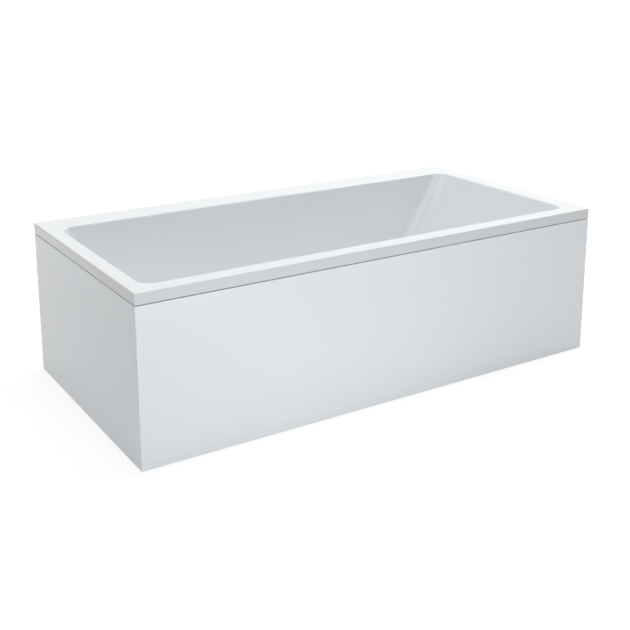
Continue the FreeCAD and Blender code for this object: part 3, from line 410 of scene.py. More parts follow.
def makeTub():
    bm = bmesh.new()
    top, wall, floor = tub["height"], tub["wall"], tub["floor"]

    def squareRing(ring, inset, z, radius):
        return nextRing(bm, ring, dict.fromkeys(sides, inset), dict.fromkeys(sides, z), radius)

    ring = None
    for step in range(tub["bendSteps"], -1, -1):  # outside, from under the floor up to the rim
        ring = wellRing(bm, ring, wall, floorBend(wall, step / tub["bendSteps"]))
    bmesh.ops.edgeloop_fill(bm, edges=[
        edge for edge in bm.edges if edge.is_boundary and max(vert.co.z for vert in edge.verts) < floor])
    ring = wellRing(bm, ring, wall, lambda side: (
        wallAt(side, top - wall) - wall / math.cos(leanOf(side)), top - wall))
    ring = squareRing(ring, wall, top - wall, tub["cornerUnder"])
    ring = squareRing(ring, wall, top - tub["lip"], tub["cornerUnder"])
    outside = set(bm.faces)
    toe = tub["lipToe"]
    for step in range(tub["toeSteps"] + 1):  # the lip's lower edge is eased, and its face drafts inward
        turn = step / tub["toeSteps"] * math.pi / 2
        inset = tub["lipDraft"] + toe * (1 - math.sin(turn))
        level = top - tub["lip"] + toe * (1 - math.cos(turn))
        ring = squareRing(ring, inset, level, tub["cornerLip"] - inset)
    for step in range(tub["outerSteps"] + 1):
        turn = step / tub["outerSteps"] * math.pi / 2
        gone = tub["outerEdge"] * (1 - math.cos(turn))
        level = top - tub["outerEdge"] * (1 - math.sin(turn))
        ring = squareRing(ring, gone, level, tub["cornerLip"] - gone)
        if step == 1:  # the lip's painted shade ends low on the rim's outer round
            lip = set(bm.faces) - outside
    for step in range(tub["innerSteps"] + 1):
        ring = wellRing(bm, ring, 0.0, rimBend(step / tub["innerSteps"]))
    rise = tub["fall"] / (tub["length"] / 2 - wallAt("Head", floor) - waste["place"].x)
    for step in range(tub["bendSteps"] + 1):
        ring = wellRing(bm, ring, 0.0, floorBend(0.0, step / tub["bendSteps"]))
        for vert in ring:  # the floor falls to the waste
            vert.co.z += rise * (vert.co.x - waste["place"].x)
    bmesh.ops.edgeloop_fill(bm, edges=[edge for edge in bm.edges if edge.is_boundary])
    for face in outside:
        face.material_index = 1
    # the lip's faces take the greyer acrylic, a painted shade
    for face in lip:
        face.material_index = 2
    tubShell = intoPiece(bm, "tubShell", [tubAcrylic, fibreGlass, lipAcrylic], "tub")
    above = waste["place"] + Vector((0, 0, waste["above"]))
    reach = overflow["axis"] * overflow["through"]
    drilled(tubShell, [
        rod(waste["seat"], waste["place"] - Vector((0, 0, waste["seatDepth"])), above, 96),
        rod(waste["hole"], waste["place"] - Vector((0, 0, waste["through"])), above, 96),
        rod(overflow["hole"], overflow["place"] - reach, overflow["place"] + reach, 96),
    ])
    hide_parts("tub_shell")
    return evenShading(tubShell)


makeTub()
print("tub shell made")

wood = {
    "ior": 1.45, "late": (0.66, 0.46, 0.27), "early": (0.83, 0.66, 0.44), "dark": (0.58, 0.40, 0.22),
    "knot": (0.20, 0.11, 0.055), "smooth": 0.56, "rough": 0.78, "relief": 0.0006,
    "ringsAlong": 0.35, "ringsAcross": 11.0, "fibresAlong": 4.0, "fibresAcross": 420.0, "knots": 2.2,
}


def pine(name, along):  # along is the axis of the grain, 0 for X or 1 for Y
    finish = Finish(name, {"IOR": wood["ior"]})
    slow = tuple(wood["ringsAlong" if axis == along else "ringsAcross"] for axis in range(3))
    fine = tuple(wood["fibresAlong" if axis == along else "fibresAcross"] for axis in range(3))
    rings = finish.add("ShaderNodeTexWave", {"wave_type": "RINGS", "rings_direction": "XY"[along]}, {
        "Vector": finish.stretched(slow), "Scale": 1.6, "Distortion": 4.5, "Detail": 3.0,
        "Detail Scale": 0.8}, "Fac")
    fibre = finish.noise(1.0, 3.0, 0.6, finish.stretched(fine))
    wide = finish.stretched(tuple(1 + scale * 0.25 for scale in slow))
    knots = finish.band(finish.cells(wood["knots"], wide), 0.0, 0.06)
    colour = finish.tint(rings ** 1.6, wood["late"], wood["early"])
    colour = finish.tint(finish.band(fibre, 0.3, 0.62), wood["dark"], colour)
    colour = finish.tint(knots, wood["knot"], colour)
    roughness = finish.band(rings + fibre, 0.4, 1.5, wood["rough"], wood["smooth"])
    return finish.dressed(colour, roughness, finish.relief(fibre + rings * 0.35, wood["relief"], 0.7))


board = {
    "ior": 1.45, "dark": (0.43, 0.31, 0.18), "pale": (0.75, 0.62, 0.43), "smooth": 0.74, "rough": 0.90,
    "relief": 0.0005, "flakes": 150.0, "dusts": 420.0, "grits": 700.0,
}


def chipBoard():
    finish = Finish("chipBoard", {"IOR": board["ior"]})
    flake = finish.flakes(board["flakes"], 0)
    dust = finish.flakes(board["dusts"], 1)
    mask = finish.band(flake * 0.6 + dust * 0.4, 0.1, 0.9)
    colour = finish.tint(mask, board["dark"], board["pale"])
    roughness = finish.band(dust, 0.0, 1.0, board["smooth"], board["rough"])
    height = mask + finish.noise(board["grits"]) * 0.5
    return finish.dressed(colour, roughness, finish.relief(height, board["relief"], 0.7))


zinc = {
    "dark": (0.34, 0.36, 0.38), "pale": (0.62, 0.64, 0.65), "smooth": 0.26, "rough": 0.50,
    "relief": 0.0002, "spangles": 85.0, "blooms": 22.0, "grits": 900.0,
}


def zincSteel():
    finish = Finish("zincSteel", {"Metallic": 1.0})
    spangle = finish.flakes(zinc["spangles"], 0)
    bloom = finish.noise(zinc["blooms"], 4.0, 0.6)
    colour = finish.tint(finish.band(spangle + bloom * 0.5, 0.2, 1.3), zinc["dark"], zinc["pale"])
    roughness = finish.band(spangle * 0.6 + bloom, 0.4, 1.2, zinc["smooth"], zinc["rough"])
    height = spangle * 0.3 + finish.noise(zinc["grits"], 1.0) * 0.2
    return finish.dressed(colour, roughness, finish.relief(height, zinc["relief"], 0.5))


mill = {
    "dark": (0.70, 0.71, 0.72), "pale": (0.84, 0.85, 0.86), "smooth": 0.24, "rough": 0.42,
    "relief": 0.0002, "linesAcross": 900.0, "linesAlong": 6.0, "clouds": 12.0,
}


def aluminium():
    finish = Finish("millAluminium", {"Metallic": 1.0})
    across = mill["linesAcross"]
    drawn = finish.noise(1.0, 3.0, 0.6, finish.stretched((across, across, mill["linesAlong"])))
    cloud = finish.noise(mill["clouds"], 3.0)
    colour = finish.tint(finish.band(drawn + cloud, 0.7, 1.3), mill["dark"], mill["pale"])
    roughness = finish.band(drawn + cloud * 0.5, 0.5, 1.0, mill["smooth"], mill["rough"])
    return finish.dressed(colour, roughness, finish.relief(drawn, mill["relief"], 0.5))


plating = {
    "dark": (0.83, 0.84, 0.86), "pale": (0.90, 0.91, 0.92), "smooth": 0.035, "rough": 0.12,
    "relief": 0.00002, "smears": 28.0, "limes": 260.0,
}


def chrome():
    finish = Finish("chromePlate", {"Metallic": 1.0})
    smear = finish.noise(plating["smears"], 4.0, 0.6)
    lime = finish.noise(plating["limes"], 3.0, 0.7)
    colour = finish.tint(finish.band(smear, 0.3, 0.7), plating["dark"], plating["pale"])
    roughness = finish.band(smear + lime * 0.25, 0.5, 0.85, plating["smooth"], plating["rough"])
    return finish.dressed(colour, roughness, finish.relief(lime, plating["relief"], 0.3))


oldBrass = {
    "dark": (0.42, 0.27, 0.10), "pale": (0.76, 0.56, 0.27), "smooth": 0.22, "rough": 0.48,
    "relief": 0.0001, "stains": 60.0, "turnings": 600.0,
}


def brass():
    finish = Finish("dullBrass", {"Metallic": 1.0})
    stain = finish.noise(oldBrass["stains"], 5.0, 0.65)
    turned = finish.noise(oldBrass["turnings"])
    colour = finish.tint(finish.band(stain, 0.35, 0.7), oldBrass["dark"], oldBrass["pale"])
    roughness = finish.band(stain + turned * 0.4, 0.5, 1.0, oldBrass["smooth"], oldBrass["rough"])
    return finish.dressed(colour, roughness, finish.relief(turned, oldBrass["relief"], 0.5))


dusty = {"ior": 1.5, "smooth": 0.58, "rough": 0.86, "relief": 0.0003, "dusts": 35.0}


def rubber(name, look):
    finish = Finish(name, {"IOR": dusty["ior"]})
    speck = finish.noise(look["grains"], 3.0, 0.7)
    dust = finish.noise(dusty["dusts"], 4.0, 0.6)
    colour = finish.tint(finish.band(dust + speck * 0.3, 0.5, 0.95), look["dark"], look["dusty"])
    roughness = finish.band(dust + speck * 0.4, 0.4, 1.0, dusty["smooth"], dusty["rough"])
    return finish.dressed(colour, roughness, finish.relief(speck, dusty["relief"], 0.6))


moulded = {"ior": 1.5, "flows": 18.0, "flowRelief": 0.0008, "skinRelief": 0.00012}


def mouldedPlastic(name, look):
    finish = Finish(name, {"IOR": moulded["ior"]})
    skin = finish.noise(look["grains"])
    flow = finish.noise(moulded["flows"], 3.0, 0.6, finish.stretched((1.0, 1.0, 3.0)))
    colour = finish.tint(finish.band(flow + skin * 0.15, 0.35, 0.8), look["dark"], look["pale"])
    roughness = finish.band(flow + skin * 0.4, 0.4, 1.0, look["smooth"], look["rough"])
    ripple = finish.relief(flow, moulded["flowRelief"], 0.5)
    return finish.dressed(colour, roughness, finish.relief(skin, moulded["skinRelief"], 0.6, ripple))


finishes = {
    "acrylic": tubAcrylic,
    "panel_acrylic": panelAcrylic,
    "timber": pine("pineAlongX", 0),
    "timberAcross": pine("pineAlongY", 1),
    "chipboard": chipBoard(),
    "galvanised_steel": zincSteel(),
    "aluminium_angle": aluminium(),
    "foot_rubber": rubber("footRubber", {
        "grains": 900.0, "dark": (0.022, 0.022, 0.024), "dusty": (0.085, 0.082, 0.078)}),
    "chrome_trim": chrome(),
    "brass_parts": brass(),
    "seal_rubber": rubber("sealRubber", {
        "grains": 1400.0, "dark": (0.030, 0.031, 0.034), "dusty": (0.060, 0.060, 0.062)}),
    "waste_plastic": mouldedPlastic("whitePipePlastic", {
        "grains": 520.0, "smooth": 0.30, "rough": 0.46,
        "dark": (0.74, 0.745, 0.735), "pale": (0.82, 0.82, 0.81)}),
    "nut_plastic": mouldedPlastic("nutPlastic", {
        "grains": 520.0, "smooth": 0.34, "rough": 0.52,
        "dark": (0.22, 0.225, 0.235), "pale": (0.30, 0.305, 0.315)}),
    "hose_plastic": mouldedPlastic("hosePlastic", {
        "grains": 800.0, "smooth": 0.36, "rough": 0.55,
        "dark": (0.56, 0.57, 0.58), "pale": (0.66, 0.67, 0.675)}),
    "cable_sheath": rubber("cableSheath", {
        "grains": 700.0, "dark": (0.018, 0.018, 0.020), "dusty": (0.050, 0.050, 0.052)}),
    "magnet_case": mouldedPlastic("magnetCase", {
        "grains": 900.0, "smooth": 0.42, "rough": 0.60,
        "dark": (0.70, 0.69, 0.655), "pale": (0.77, 0.76, 0.73)}),
}
acrossBattens = ("rim_batten_foot", "rim_batten_head", "floor_batten_end")
nodeSlot = {part["node"]: part["material_slot"] for part in frame["record"]["subparts"]}
bodyOf = {node: body for body, held in frame["record"]["behaviour"]["bodies"].items() for node in held}


def finishOf(node):  # a batten's grain runs along it
    return finishes["timberAcross" if node in acrossBattens else nodeSlot[node]]


for node, shape in nodes.items():
    shape.data.materials.clear()
    shape.data.materials.append(finishOf(node))
print("finishes made:", len(finishes))


def merged(node):  # a CAD node's mesh, its loose triangles joined
    bm = bmesh.new()
    bm.from_mesh(nodes[node].data)
    bmesh.ops.remove_doubles(bm, verts=bm.verts[:], dist=1e-6)
    return bm


def solidBoxes(node):  # the corners of each separate solid of a CAD node
    bm = merged(node)
    left, boxes = set(bm.verts), []
    while left:
        island, edge = set(), [left.pop()]
        while edge:
            vert = edge.pop()
            island.add(vert)
            near = {link.other_vert(vert) for link in vert.link_edges} & left
            left -= near
            edge.extend(near)
        corners = [[pick(vert.co[axis] for vert in island) for axis in range(3)] for pick in (min, max)]
        boxes.append([Vector(corner) for corner in corners])
    bm.free()
    return sorted(boxes, key=lambda box: tuple(round(value, 4) for value in box[0]))


def spun(points, steps=96):  # turns a closed outline of (radius, height) in mm about Z
    bm = bmesh.new()
    chain = [bm.verts.new((radius * mm, 0.0, level * mm)) for radius, level in points]
    edges = [bm.edges.new((first, second)) for first, second in zip(chain, chain[1:] + chain[:1])]
    edges = [edge for edge in edges if any(abs(vert.co.x) > 1e-7 for vert in edge.verts)]
    for edge in [edge for edge in bm.edges if edge not in edges]:
        bm.edges.remove(edge)
    bmesh.ops.spin(bm, geom=chain + edges, cent=(0, 0, 0), axis=(0, 0, 1), angle=2 * math.pi, steps=steps,
                   use_merge=True, use_normal_flip=False, use_duplicate=False)
    bmesh.ops.remove_doubles(bm, verts=bm.verts[:], dist=1e-7)
    bmesh.ops.recalc_face_normals(bm, faces=bm.faces[:])
    return bm


def block(low, high, edge=0.0):  # a box in mm, its edges rounded by edge
    bm = bmesh.new()
    bmesh.ops.create_cube(bm, size=1.0)
    low, high = Vector(low) * mm, Vector(high) * mm
    bmesh.ops.scale(bm, vec=high - low, verts=bm.verts[:])
    bmesh.ops.translate(bm, vec=(low + high) / 2, verts=bm.verts[:])
    if edge:
        bmesh.ops.bevel(bm, geom=bm.edges[:], offset=edge * mm, offset_type="OFFSET", affect="EDGES",
                        segments=2, profile=0.5, material=-1)
    return bm


def put(bm, place, axis=(0, 0, 1), roll=0.0):  # stands a shape drawn on Z at a place
    turn = Vector((0, 0, 1)).rotation_difference(Vector(axis)).to_matrix().to_4x4()
    matrix = Matrix.Translation(place) @ turn @ Matrix.Rotation(roll, 4, "Z")
    bmesh.ops.transform(bm, matrix=matrix, verts=bm.verts[:])
    return bm


def gathered(shapes):  # one bmesh from several
    whole = bmesh.new()
    for bm in shapes:
        mesh = bpy.data.meshes.new("part")
        bm.to_mesh(mesh)
        bm.free()
        whole.from_mesh(mesh)
        bpy.data.meshes.remove(mesh)
    return whole


def lifted(piece):  # the mesh of a finished blank, which goes
    bm = bmesh.new()
    bm.from_mesh(piece.data)
    bpy.data.objects.remove(piece, do_unlink=True)
    return bm


def crisp(piece, width):  # a small round, in mm, on every hard edge
    modifier = piece.modifiers.new("edgeRound", "BEVEL")
    modifier.width = width * mm
    modifier.segments = 2
    modifier.limit_method = "ANGLE"
    modifier.angle_limit = math.radians(38.0)
    modifier.harden_normals = True
    return evenShading(piece)


def standIn(bm, node, name=None, sharp=hardEdge):  # a piece in a CAD node's place, body and slot
    first, *rest = node.split("_")
    name = name or first + "".join(word.capitalize() for word in rest)
    piece = intoPiece(bm, name, [finishOf(node)], bodyOf[node], sharp)
    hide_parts(node)
    return piece


leg = {
    "core": 5.05, "root": 4.7, "crest": 6.0, "pitch": 1.75, "turnSteps": 20, "tip": 1.2,
    "padRadius": 25.0, "padHeight": 19.0, "padDisc": 7.0, "padBoss": 11.0, "padSocket": 14.0,
    "padRibs": 8, "ribHalf": 0.9, "ribReach": 5.5, "ribRise": 6.0, "ribSlope": 5.6,
    "nutAcross": 19.0, "nutHeight": 10.0, "nutBore": 6.08, "nutChamfer": 1.2,
}
feet = ("front_left", "back_left", "front_right", "back_right", "centre")


def onSpot(bm, node):  # stands a leg's shape, drawn at the middle, where its node stands
    low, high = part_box(node)
    return put(bm, ((low[0] + high[0]) / 2, (low[1] + high[1]) / 2, low[2]))


def threadedRod(foot):
    node = "foot_rod_" + foot
    low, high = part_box(node)
    length = (high[2] - low[2]) / mm
    core = spun([(0, 0), (leg["core"], 0), (leg["core"], length - leg["tip"]),
                 (leg["core"] - leg["tip"], length), (0, length)], 40)
    thread = screwThread(int((length - 1.2 * leg["tip"]) / leg["pitch"]) - 1)
    return standIn(onSpot(gathered([core, thread]), node), node, "threadedRod_" + foot)


def screwThread(turns):  # one turn of the rib is spun, then set above itself
    turn = bmesh.new()
    pitch = leg["pitch"] * mm
    outline = [(leg["root"], 0.04), (leg["crest"], 0.44), (leg["crest"], 0.56), (leg["root"], 0.96)]
    corners = [turn.verts.new((radius * mm, 0.0, share * pitch)) for radius, share in outline]
    edges = [turn.edges.new((first, second)) for first, second in zip(corners, corners[1:] + corners[:1])]
    bmesh.ops.spin(turn, geom=corners + edges, cent=(0, 0, 0), axis=(0, 0, 1), angle=2 * math.pi,
                   dvec=(0, 0, pitch / leg["turnSteps"]), steps=leg["turnSteps"],
                   use_merge=False, use_duplicate=False)
    mesh = bpy.data.meshes.new("turn")
    turn.to_mesh(mesh)
    turn.free()
    thread = bmesh.new()
    for count in range(turns):
        thread.from_mesh(mesh)
        mesh.transform(Matrix.Translation((0, 0, pitch)))
    bpy.data.meshes.remove(mesh)
    bmesh.ops.remove_doubles(thread, verts=thread.verts[:], dist=1e-6)
    bmesh.ops.holes_fill(thread, edges=[edge for edge in thread.edges if edge.is_boundary])
    bmesh.ops.recalc_face_normals(thread, faces=thread.faces[:])
    return thread


def footPad(foot):
    node = "foot_pad_" + foot
    radius, disc, boss, top = leg["padRadius"], leg["padDisc"], leg["padBoss"], leg["padHeight"]
    socket = top - leg["padSocket"]
    shapes = [spun([
        (0, 0), (radius - 1.2, 0), (radius, 1.0), (radius, disc - 2.2), (radius - 0.7, disc - 0.7),
        (radius - 2.2, disc), (radius - 6, disc), (radius - 6.5, disc - 0.5), (radius - 7.5, disc - 0.5),
        (radius - 8, disc), (boss + 1.2, disc), (boss, disc + 1.2), (boss, top - 0.8), (boss - 0.8, top),
        (leg["crest"] + 0.6, top), (leg["crest"], top - 0.6), (leg["crest"], socket), (0, socket)], 72)]
    for count in range(leg["padRibs"]):  # webs that stiffen the boss
        web = block((boss - 1, -leg["ribHalf"], disc - 0.5),
                    (boss + leg["ribReach"], leg["ribHalf"], disc + leg["ribRise"]))
        outer = [vert for vert in web.verts if vert.co.x > (boss + 2) * mm and vert.co.z > disc * mm]
        bmesh.ops.translate(web, vec=(0, 0, -leg["ribSlope"] * mm), verts=outer)
        shapes.append(put(web, (0, 0, 0), roll=2 * math.pi * count / leg["padRibs"]))
    return standIn(onSpot(gathered(shapes), node), node, "footPad_" + foot)


def hexNut():
    half, tall, bore = leg["nutAcross"] / 2, leg["nutHeight"], leg["nutBore"]
    radius = half / math.cos(math.pi / 6)
    mouth = bore + leg["nutChamfer"]
    nut = intoPiece(rod(radius * mm, (0, 0, 0), (0, 0, tall * mm), 6), "nutBlank")
    drilled(nut, [spun([(0, 0), (half - 0.1, 0), (radius + 0.6, 1.3), (radius + 0.6, tall - 1.3),
                        (half - 0.1, tall), (0, tall)], 48)], "INTERSECT")
    drilled(nut, [spun([(0, -1), (mouth, -1), (mouth, 0), (bore, 1.1), (bore, tall - 1.1), (mouth, tall),
                        (mouth, tall + 1), (0, tall + 1)], 48)])
    return lifted(nut)


def lockNuts():
    blank = hexNut()
    nuts = [put(blank.copy(), ((low.x + high.x) / 2, (low.y + high.y) / 2, low.z))
            for low, high in solidBoxes("lock_nuts")]
    blank.free()
    return standIn(gathered(nuts), "lock_nuts")


for foot in feet:
    threadedRod(foot)
    footPad(foot)
lockNuts()
print("legs made")

screw = {"head": 4.3, "headHeight": 2.4, "shank": 2.25, "point": 3.5, "recess": 1.0, "recessDepth": 1.5}


def crossScrew(length):  # a pan head at the bottom and the point up, in mm
    head, under, shank = screw["head"], screw["headHeight"], screw["shank"]
    body = spun([(0, 0), (head * 0.55, 0.05), (head * 0.85, 0.5), (head, 1.4), (head, under), (shank, under),
                 (shank, length - screw["point"]), (0.3, length), (0, length)], 32)
    long, half, deep = head * 0.55, screw["recess"] / 2, screw["recessDepth"]
    wings = [block((-long, -half, -1), (long, half, deep)), block((-half, -long, -1), (half, long, deep))]
    return lifted(drilled(intoPiece(body, "screwBlank"), wings))


def screwRow(node, axisOf):
    made = []
    for low, high in solidBoxes(node):
        axis = Vector(axisOf(high - low))
        run = abs(axis.dot((high - low) / 2)) * 2
        made.append(put(crossScrew(run / mm), (low + high) / 2 - axis * run / 2, axis))
    return standIn(gathered(made), node)


for node in ("rail_screws", "plate_screws", "clip_screws", "bracket_screws"):
    screwRow(node, lambda size: (0, 0, 1))
screwRow("corner_angle_screws", lambda size: (0, -1, 0) if size.y > size.x else (-1, 0, 0))
print("screws made")

# the waste's flange and plug, in mm, with their levels from the studio floor
drain = {
    "flange": 35.0, "flangeTop": 124.0, "seat": 121.0, "tail": 23.0, "tailBore": 21.0, "tailLow": 99.0,
    "bush": 7.0, "stem": 4.0, "stemGap": 0.08, "spoke": 3.5, "spokeHeight": 6.0, "spokeEdge": 0.5,
    "plug": 31.0, "plugLow": 125.7, "plugTop": 130.2, "collar": 18.0, "collarLow": 116.7,
}


def guide(reach, low, first):  # a bush for a stem on three spokes, the first at an angle in degrees
    bore, high, half = drain["stem"] + drain["stemGap"], low + drain["spokeHeight"], drain["spoke"] / 2
    made = [spun([(bore, low), (drain["bush"], low), (drain["bush"], high), (bore, high)], 48)]
    for turn in (first, first + 120, first + 240):
        arm = block((drain["stem"] + 0.6, -half, low), (reach + 1, half, high), drain["spokeEdge"])
        made.append(put(arm, (0, 0, 0), roll=math.radians(turn)))
    return made


def atWaste(bm):
    return put(bm, (waste["place"].x, waste["place"].y, 0))


def wasteFlange():
    top, seat, edge, tail, low = (drain[key] for key in ("flangeTop", "seat", "flange", "tail", "tailLow"))
    bore = drain["tailBore"]
    ring = spun([
        (bore, low), (tail, low), (tail, seat), (edge, seat), (edge, seat + 1.2), (edge - 0.4, seat + 2.0),
        (edge - 1.5, seat + 2.6), (edge - 4, top), (bore + 3.2, top), (bore + 1.2, top - 0.6),
        (bore + 0.2, top - 2.0), (bore, top - 4.0)])
    return evenShading(standIn(atWaste(gathered([ring] + guide(bore, low, 60))), "waste_flange"))


def wastePlug():
    low, top, edge, stem = drain["plugLow"], drain["plugTop"], drain["plug"], drain["stem"]
    collar, under = drain["collar"], drain["collarLow"]
    whole = spun([
        (0, low), (stem, low), (stem, under), (collar - 0.8, under), (collar, under + 0.8), (collar, low),
        (edge - 0.5, low), (edge, low + 0.5), (edge, low + 1.8), (edge - 0.35, low + 2.7),
        (edge - 1.2, low + 3.5), (edge - 2.7, low + 4.1), (edge - 8, top - 0.15), (edge - 18, top), (0, top)])
    return evenShading(standIn(atWaste(whole), "waste_plug"))


wasteFlange()
wastePlug()
print("waste made")

# the overflow's faceplate and turning knob, in mm, with their levels from the wall of the well
spill = {
    "plate": 33.0, "plateHeight": 4.0, "neck": 22.0, "bore": 19.5, "neckLength": 16.0, "bush": 7.0,
    "stem": 4.0, "knob": 35.0, "knobLow": 5.0, "knobTop": 22.0, "wall": 2.5, "round": 3.0, "roundSteps": 6,
    "slotWide": 26.0, "slotHigh": 7.0, "edge": 0.25,
}


def atOverflow(bm):  # the shape's Z looks into the well, its X looks down
    turn = Matrix.Rotation(math.pi / 2 - leanOf("Foot"), 4, "Y")
    bmesh.ops.transform(bm, matrix=Matrix.Translation(overflow["place"]) @ turn, verts=bm.verts[:])
    return bm


def overflowFaceplate():
    plate, top, bore, neck = spill["plate"], spill["plateHeight"], spill["bore"], spill["neck"]
    ring = spun([
        (bore, -spill["neckLength"]), (neck, -spill["neckLength"]), (neck, 0), (plate, 0), (plate, top - 1.6),
        (plate - 0.5, top - 0.6), (plate - 1.6, top), (bore + 0.8, top), (bore, top - 0.8)])
    shapes = [ring] + guide(bore, -drain["spokeHeight"], 0)
    return evenShading(standIn(atOverflow(gathered(shapes)), "overflow_faceplate"))


def overflowKnob():
    edge, low, top, wall, rounding = (spill[key] for key in ("knob", "knobLow", "knobTop", "wall", "round"))
    outline = [(0, top - 0.35), (edge - 14, top - 0.3), (edge - 9, top)]
    for step in range(spill["roundSteps"] + 1):
        turn = step / spill["roundSteps"] * math.pi / 2
        outline.append((edge - rounding * (1 - math.sin(turn)), top - rounding * (1 - math.cos(turn))))
    outline += [(edge, low + 0.6), (edge - 0.6, low), (edge - wall, low), (edge - wall, top - wall),
                (spill["bush"], top - wall), (spill["bush"], low), (spill["stem"], low),
                (spill["stem"], top - wall), (0, top - wall)]
    half = spill["slotWide"] / 2
    slot = block((edge - 3 * wall, -half, low - 1), (edge + wall, half, low + spill["slotHigh"]))
    knob = drilled(intoPiece(spun(outline, 120), "knobBlank"), [slot])
    return crisp(standIn(atOverflow(lifted(knob)), "overflow_knob"), spill["edge"])


overflowFaceplate()
overflowKnob()
print("overflow made")

# the ribbed hose and the pull cable beside it run down, round a quarter bend and along, in mm
hose = {
    "x": -856.19, "top": 434.0, "end": -677.7, "level": 92.0, "bend": 92.0, "cuff": 34.0, "cuffEnd": 3.0,
    "root": 14.6, "crest": 17.0, "bore": 13.0, "across": 40, "pitch": 5.5, "ribSteps": 6, "ribFullness": 0.7,
    "mouth": 0.5, "mouthRun": 0.8, "sharpFrom": 60.0,
    "cable": 2.5, "cableAside": 21.0, "cableTop": 432.0, "cableEnd": -671.7, "cableAcross": 20,
    "cableSteps": 120,
}


def wholeRun(top, end):
    drop = top - hose["level"] - hose["bend"]
    return drop + hose["bend"] * math.pi / 2 + end - hose["x"] - hose["bend"]


def alongBend(run, top, aside=0.0):  # the point and the heading at a length of run along the line
    drop = top - hose["level"] - hose["bend"]
    turn = hose["bend"] * math.pi / 2
    y = waste["place"].y / mm + aside
    if run <= drop:
        return Vector((hose["x"], y, top - run)), Vector((0, 0, -1))
    if run <= drop + turn:
        angle = (run - drop) / hose["bend"]
        across, down = hose["bend"] * (1 - math.cos(angle)), hose["bend"] * (1 - math.sin(angle))
        return (Vector((hose["x"] + across, y, hose["level"] + down)),
                Vector((math.sin(angle), 0, -math.cos(angle))))
    return Vector((hose["x"] + hose["bend"] + run - drop - turn, y, hose["level"])), Vector((1, 0, 0))


def tubeAlong(stations, across, bore=None):  # stations are (point, heading, radius); a bore turns back
    if bore:
        back = stations[::-3] + stations[:1]
        stations = stations + [(point, heading, bore) for point, heading, radius in back]
    bm = bmesh.new()
    ring = None
    aside = Vector((0, 1, 0))
    for point, heading, radius in stations:
        ring = grownRing(bm, ring, across)
        over = heading.cross(aside)
        for count, vert in enumerate(ring):
            turn = 2 * math.pi * count / across
            vert.co = (point + (aside * math.cos(turn) + over * math.sin(turn)) * radius) * mm
    ends = [edge for edge in bm.edges if edge.is_boundary]
    if bore:
        bmesh.ops.bridge_loops(bm, edges=ends)
    else:
        bmesh.ops.holes_fill(bm, edges=ends)
    return bm


def overflowHose():
    total = wholeRun(hose["top"], hose["end"])
    ribbed = total - 2 * hose["cuff"]
    steps = int(ribbed / hose["pitch"]) * hose["ribSteps"]
    root, mouth, cuff = hose["root"], hose["root"] - hose["mouth"], hose["cuff"] - hose["cuffEnd"]
    line = [(0.0, mouth), (hose["mouthRun"], root), (cuff, root)]
    for step in range(steps + 1):
        swell = (0.5 - 0.5 * math.cos(2 * math.pi * step / hose["ribSteps"])) ** hose["ribFullness"]
        line.append((hose["cuff"] + ribbed * step / steps, root + (hose["crest"] - root) * swell))
    line += [(total - cuff, root), (total - hose["mouthRun"], root), (total, mouth)]
    stations = [(*alongBend(run, hose["top"]), radius) for run, radius in line]
    tube = tubeAlong(stations, hose["across"], hose["bore"])
    return standIn(tube, "overflow_hose", sharp=hose["sharpFrom"])


def pullCable():
    step = wholeRun(hose["cableTop"], hose["cableEnd"]) / hose["cableSteps"]
    stations = [(*alongBend(step * count, hose["cableTop"], hose["cableAside"]), hose["cable"])
                for count in range(hose["cableSteps"] + 1)]
    return standIn(tubeAlong(stations, hose["cableAcross"]), "pop_up_cable", "pullCable", hose["sharpFrom"])


overflowHose()
pullCable()
print("hose and cable made")

# nodes that keep the CAD's form, with the round on their edges in mm
keptForms = {
    "waste_body": 0.5, "trap_body": 0.6, "trap_cap": 0.7, "union_nut": 0.4, "outlet_nut": 0.4,
    "overflow_body": 0.4, "outlet_pipe": 0.4, "hose_clips": 0.2, "plug_lever": 0.3, "plug_stem": 0.3,
    "knob_spindle": 0.3, "plug_seal": 0.3, "cable_ties": 0.15, "panel_clips": 0.25, "wall_brackets": 0.5,
    "cross_rail_foot": 0.8, "cross_rail_head": 0.8, "centre_foot_plate": 0.5, "magnet_catches": 0.6,
    "panel_corner_angle": 0.3, "rim_batten_front": 1.2, "rim_batten_back": 1.2, "rim_batten_foot": 1.2,
    "rim_batten_head": 1.2, "floor_batten_front": 1.2, "floor_batten_end": 1.2, "base_board": 0.8,
    "front_panel": 0.3, "end_panel": 0.3,
}
for node, width in keptForms.items():
    bm = merged(node)
    bmesh.ops.dissolve_limit(bm, angle_limit=math.radians(0.6), verts=bm.verts[:], edges=bm.edges[:])
    crisp(standIn(bm, node), width)
print("frame pieces made")

# to the camera the floor glows, by floorGlow within near metres and fully beyond far, and the sky is
# white; the tub itself gets a plain floor of the tone floorUnder and only a share of the sky
room = {
    "floorSize": 60.0, "floorGlow": 0.74, "floorWhite": 0.35, "floorUnder": 0.8, "sky": 0.30,
    "near": 1.4, "far": 2.6,
}


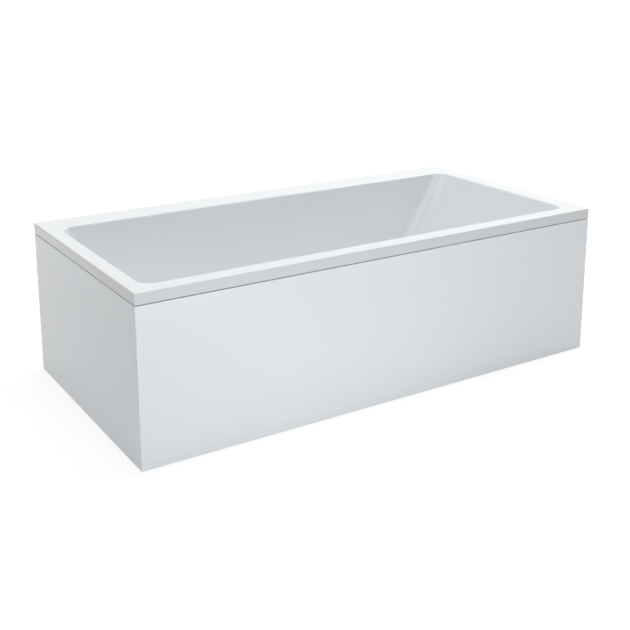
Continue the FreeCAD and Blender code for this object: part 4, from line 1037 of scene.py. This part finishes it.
def makeFloor():
    bm = bmesh.new()
    bmesh.ops.create_grid(bm, x_segments=1, y_segments=1, size=room["floorSize"])
    floor = intoPiece(bm, "studioFloor")
    material = bpy.data.materials.new("studioFloor")
    material.use_nodes = True
    graph = Graph(material.node_tree)
    graph.tree.nodes.remove(graph.tree.nodes["Principled BSDF"])
    place = graph.add("ShaderNodeTexCoord", out="Object")
    reach = graph.add("ShaderNodeVectorMath", {"operation": "LENGTH"}, {0: place}, "Value")
    far = (reach - room["near"]) / (room["far"] - room["near"])
    far = far.sum("MINIMUM", 1.0).sum("MAXIMUM", 0.0)
    white = graph.add("ShaderNodeBsdfDiffuse", None, {"Color": (room["floorWhite"],) * 3})
    strength = far * (1.0 - room["floorGlow"]) + room["floorGlow"]
    glow = graph.add("ShaderNodeEmission", None, {"Strength": strength})
    lit = graph.add("ShaderNodeAddShader", None, {0: white, 1: glow})
    plain = graph.add("ShaderNodeBsdfDiffuse", None, {"Color": (room["floorUnder"],) * 3})
    choice = graph.add("ShaderNodeMixShader", None, {0: graph.seen(), 1: plain, 2: lit})
    graph.feed(graph.tree.nodes["Material Output"], {"Surface": choice})
    floor.data.materials.append(material)


def makeSky():
    world = bpy.data.worlds.new("studioSky")
    bpy.context.scene.world = world
    world.use_nodes = True
    graph = Graph(world.node_tree)
    strength = graph.seen() * (1.0 - room["sky"]) + room["sky"]
    graph.feed(graph.tree.nodes["Background"], {"Color": (1.0, 1.0, 1.0), "Strength": strength})


lamps = {
    "overhead": {"place": (-0.4, 0.8, 4.8), "aim": (-0.1, 0.0, 0.5), "size": 4.0, "power": 110.8},
    "headEnd": {"place": (3.6, 0.3, 3.2), "aim": (0.0, 0.0, 0.5), "size": 3.2, "power": 87.7},
    "frontHigh": {"place": (-0.9, -3.4, 3.0), "aim": (-0.3, -0.3, 0.4), "size": 2.2, "power": 22.8},
    "frontLow": {"place": (-0.25, -1.9, 0.18), "aim": (-0.2, -0.45, 0.05), "size": 0.8, "power": 5.4},
    "frontLeft": {"place": (-1.0, -1.9, 0.18), "aim": (-0.7, -0.45, 0.1), "size": 0.8, "power": 3.7},
    "footEnd": {"place": (-1.8, 0.2, 0.1), "aim": (-0.9, 0.1, 0.0), "size": 0.5, "power": 0.6},
}


def makeLamps():
    for name, lamp in lamps.items():
        data = bpy.data.lights.new(name, "AREA")
        data.shape = "SQUARE"
        data.size = lamp["size"]
        data.energy = lamp["power"]
        made = bpy.data.objects.new(name, data)
        made.location = lamp["place"]
        aim = Vector(lamp["aim"]) - Vector(lamp["place"])
        made.rotation_euler = aim.to_track_quat("-Z", "Y").to_euler()
        bpy.context.collection.objects.link(made)


makeFloor()
makeSky()
makeLamps()
bpy.context.scene.view_settings.view_transform = "Standard"
print("room and lamps made")
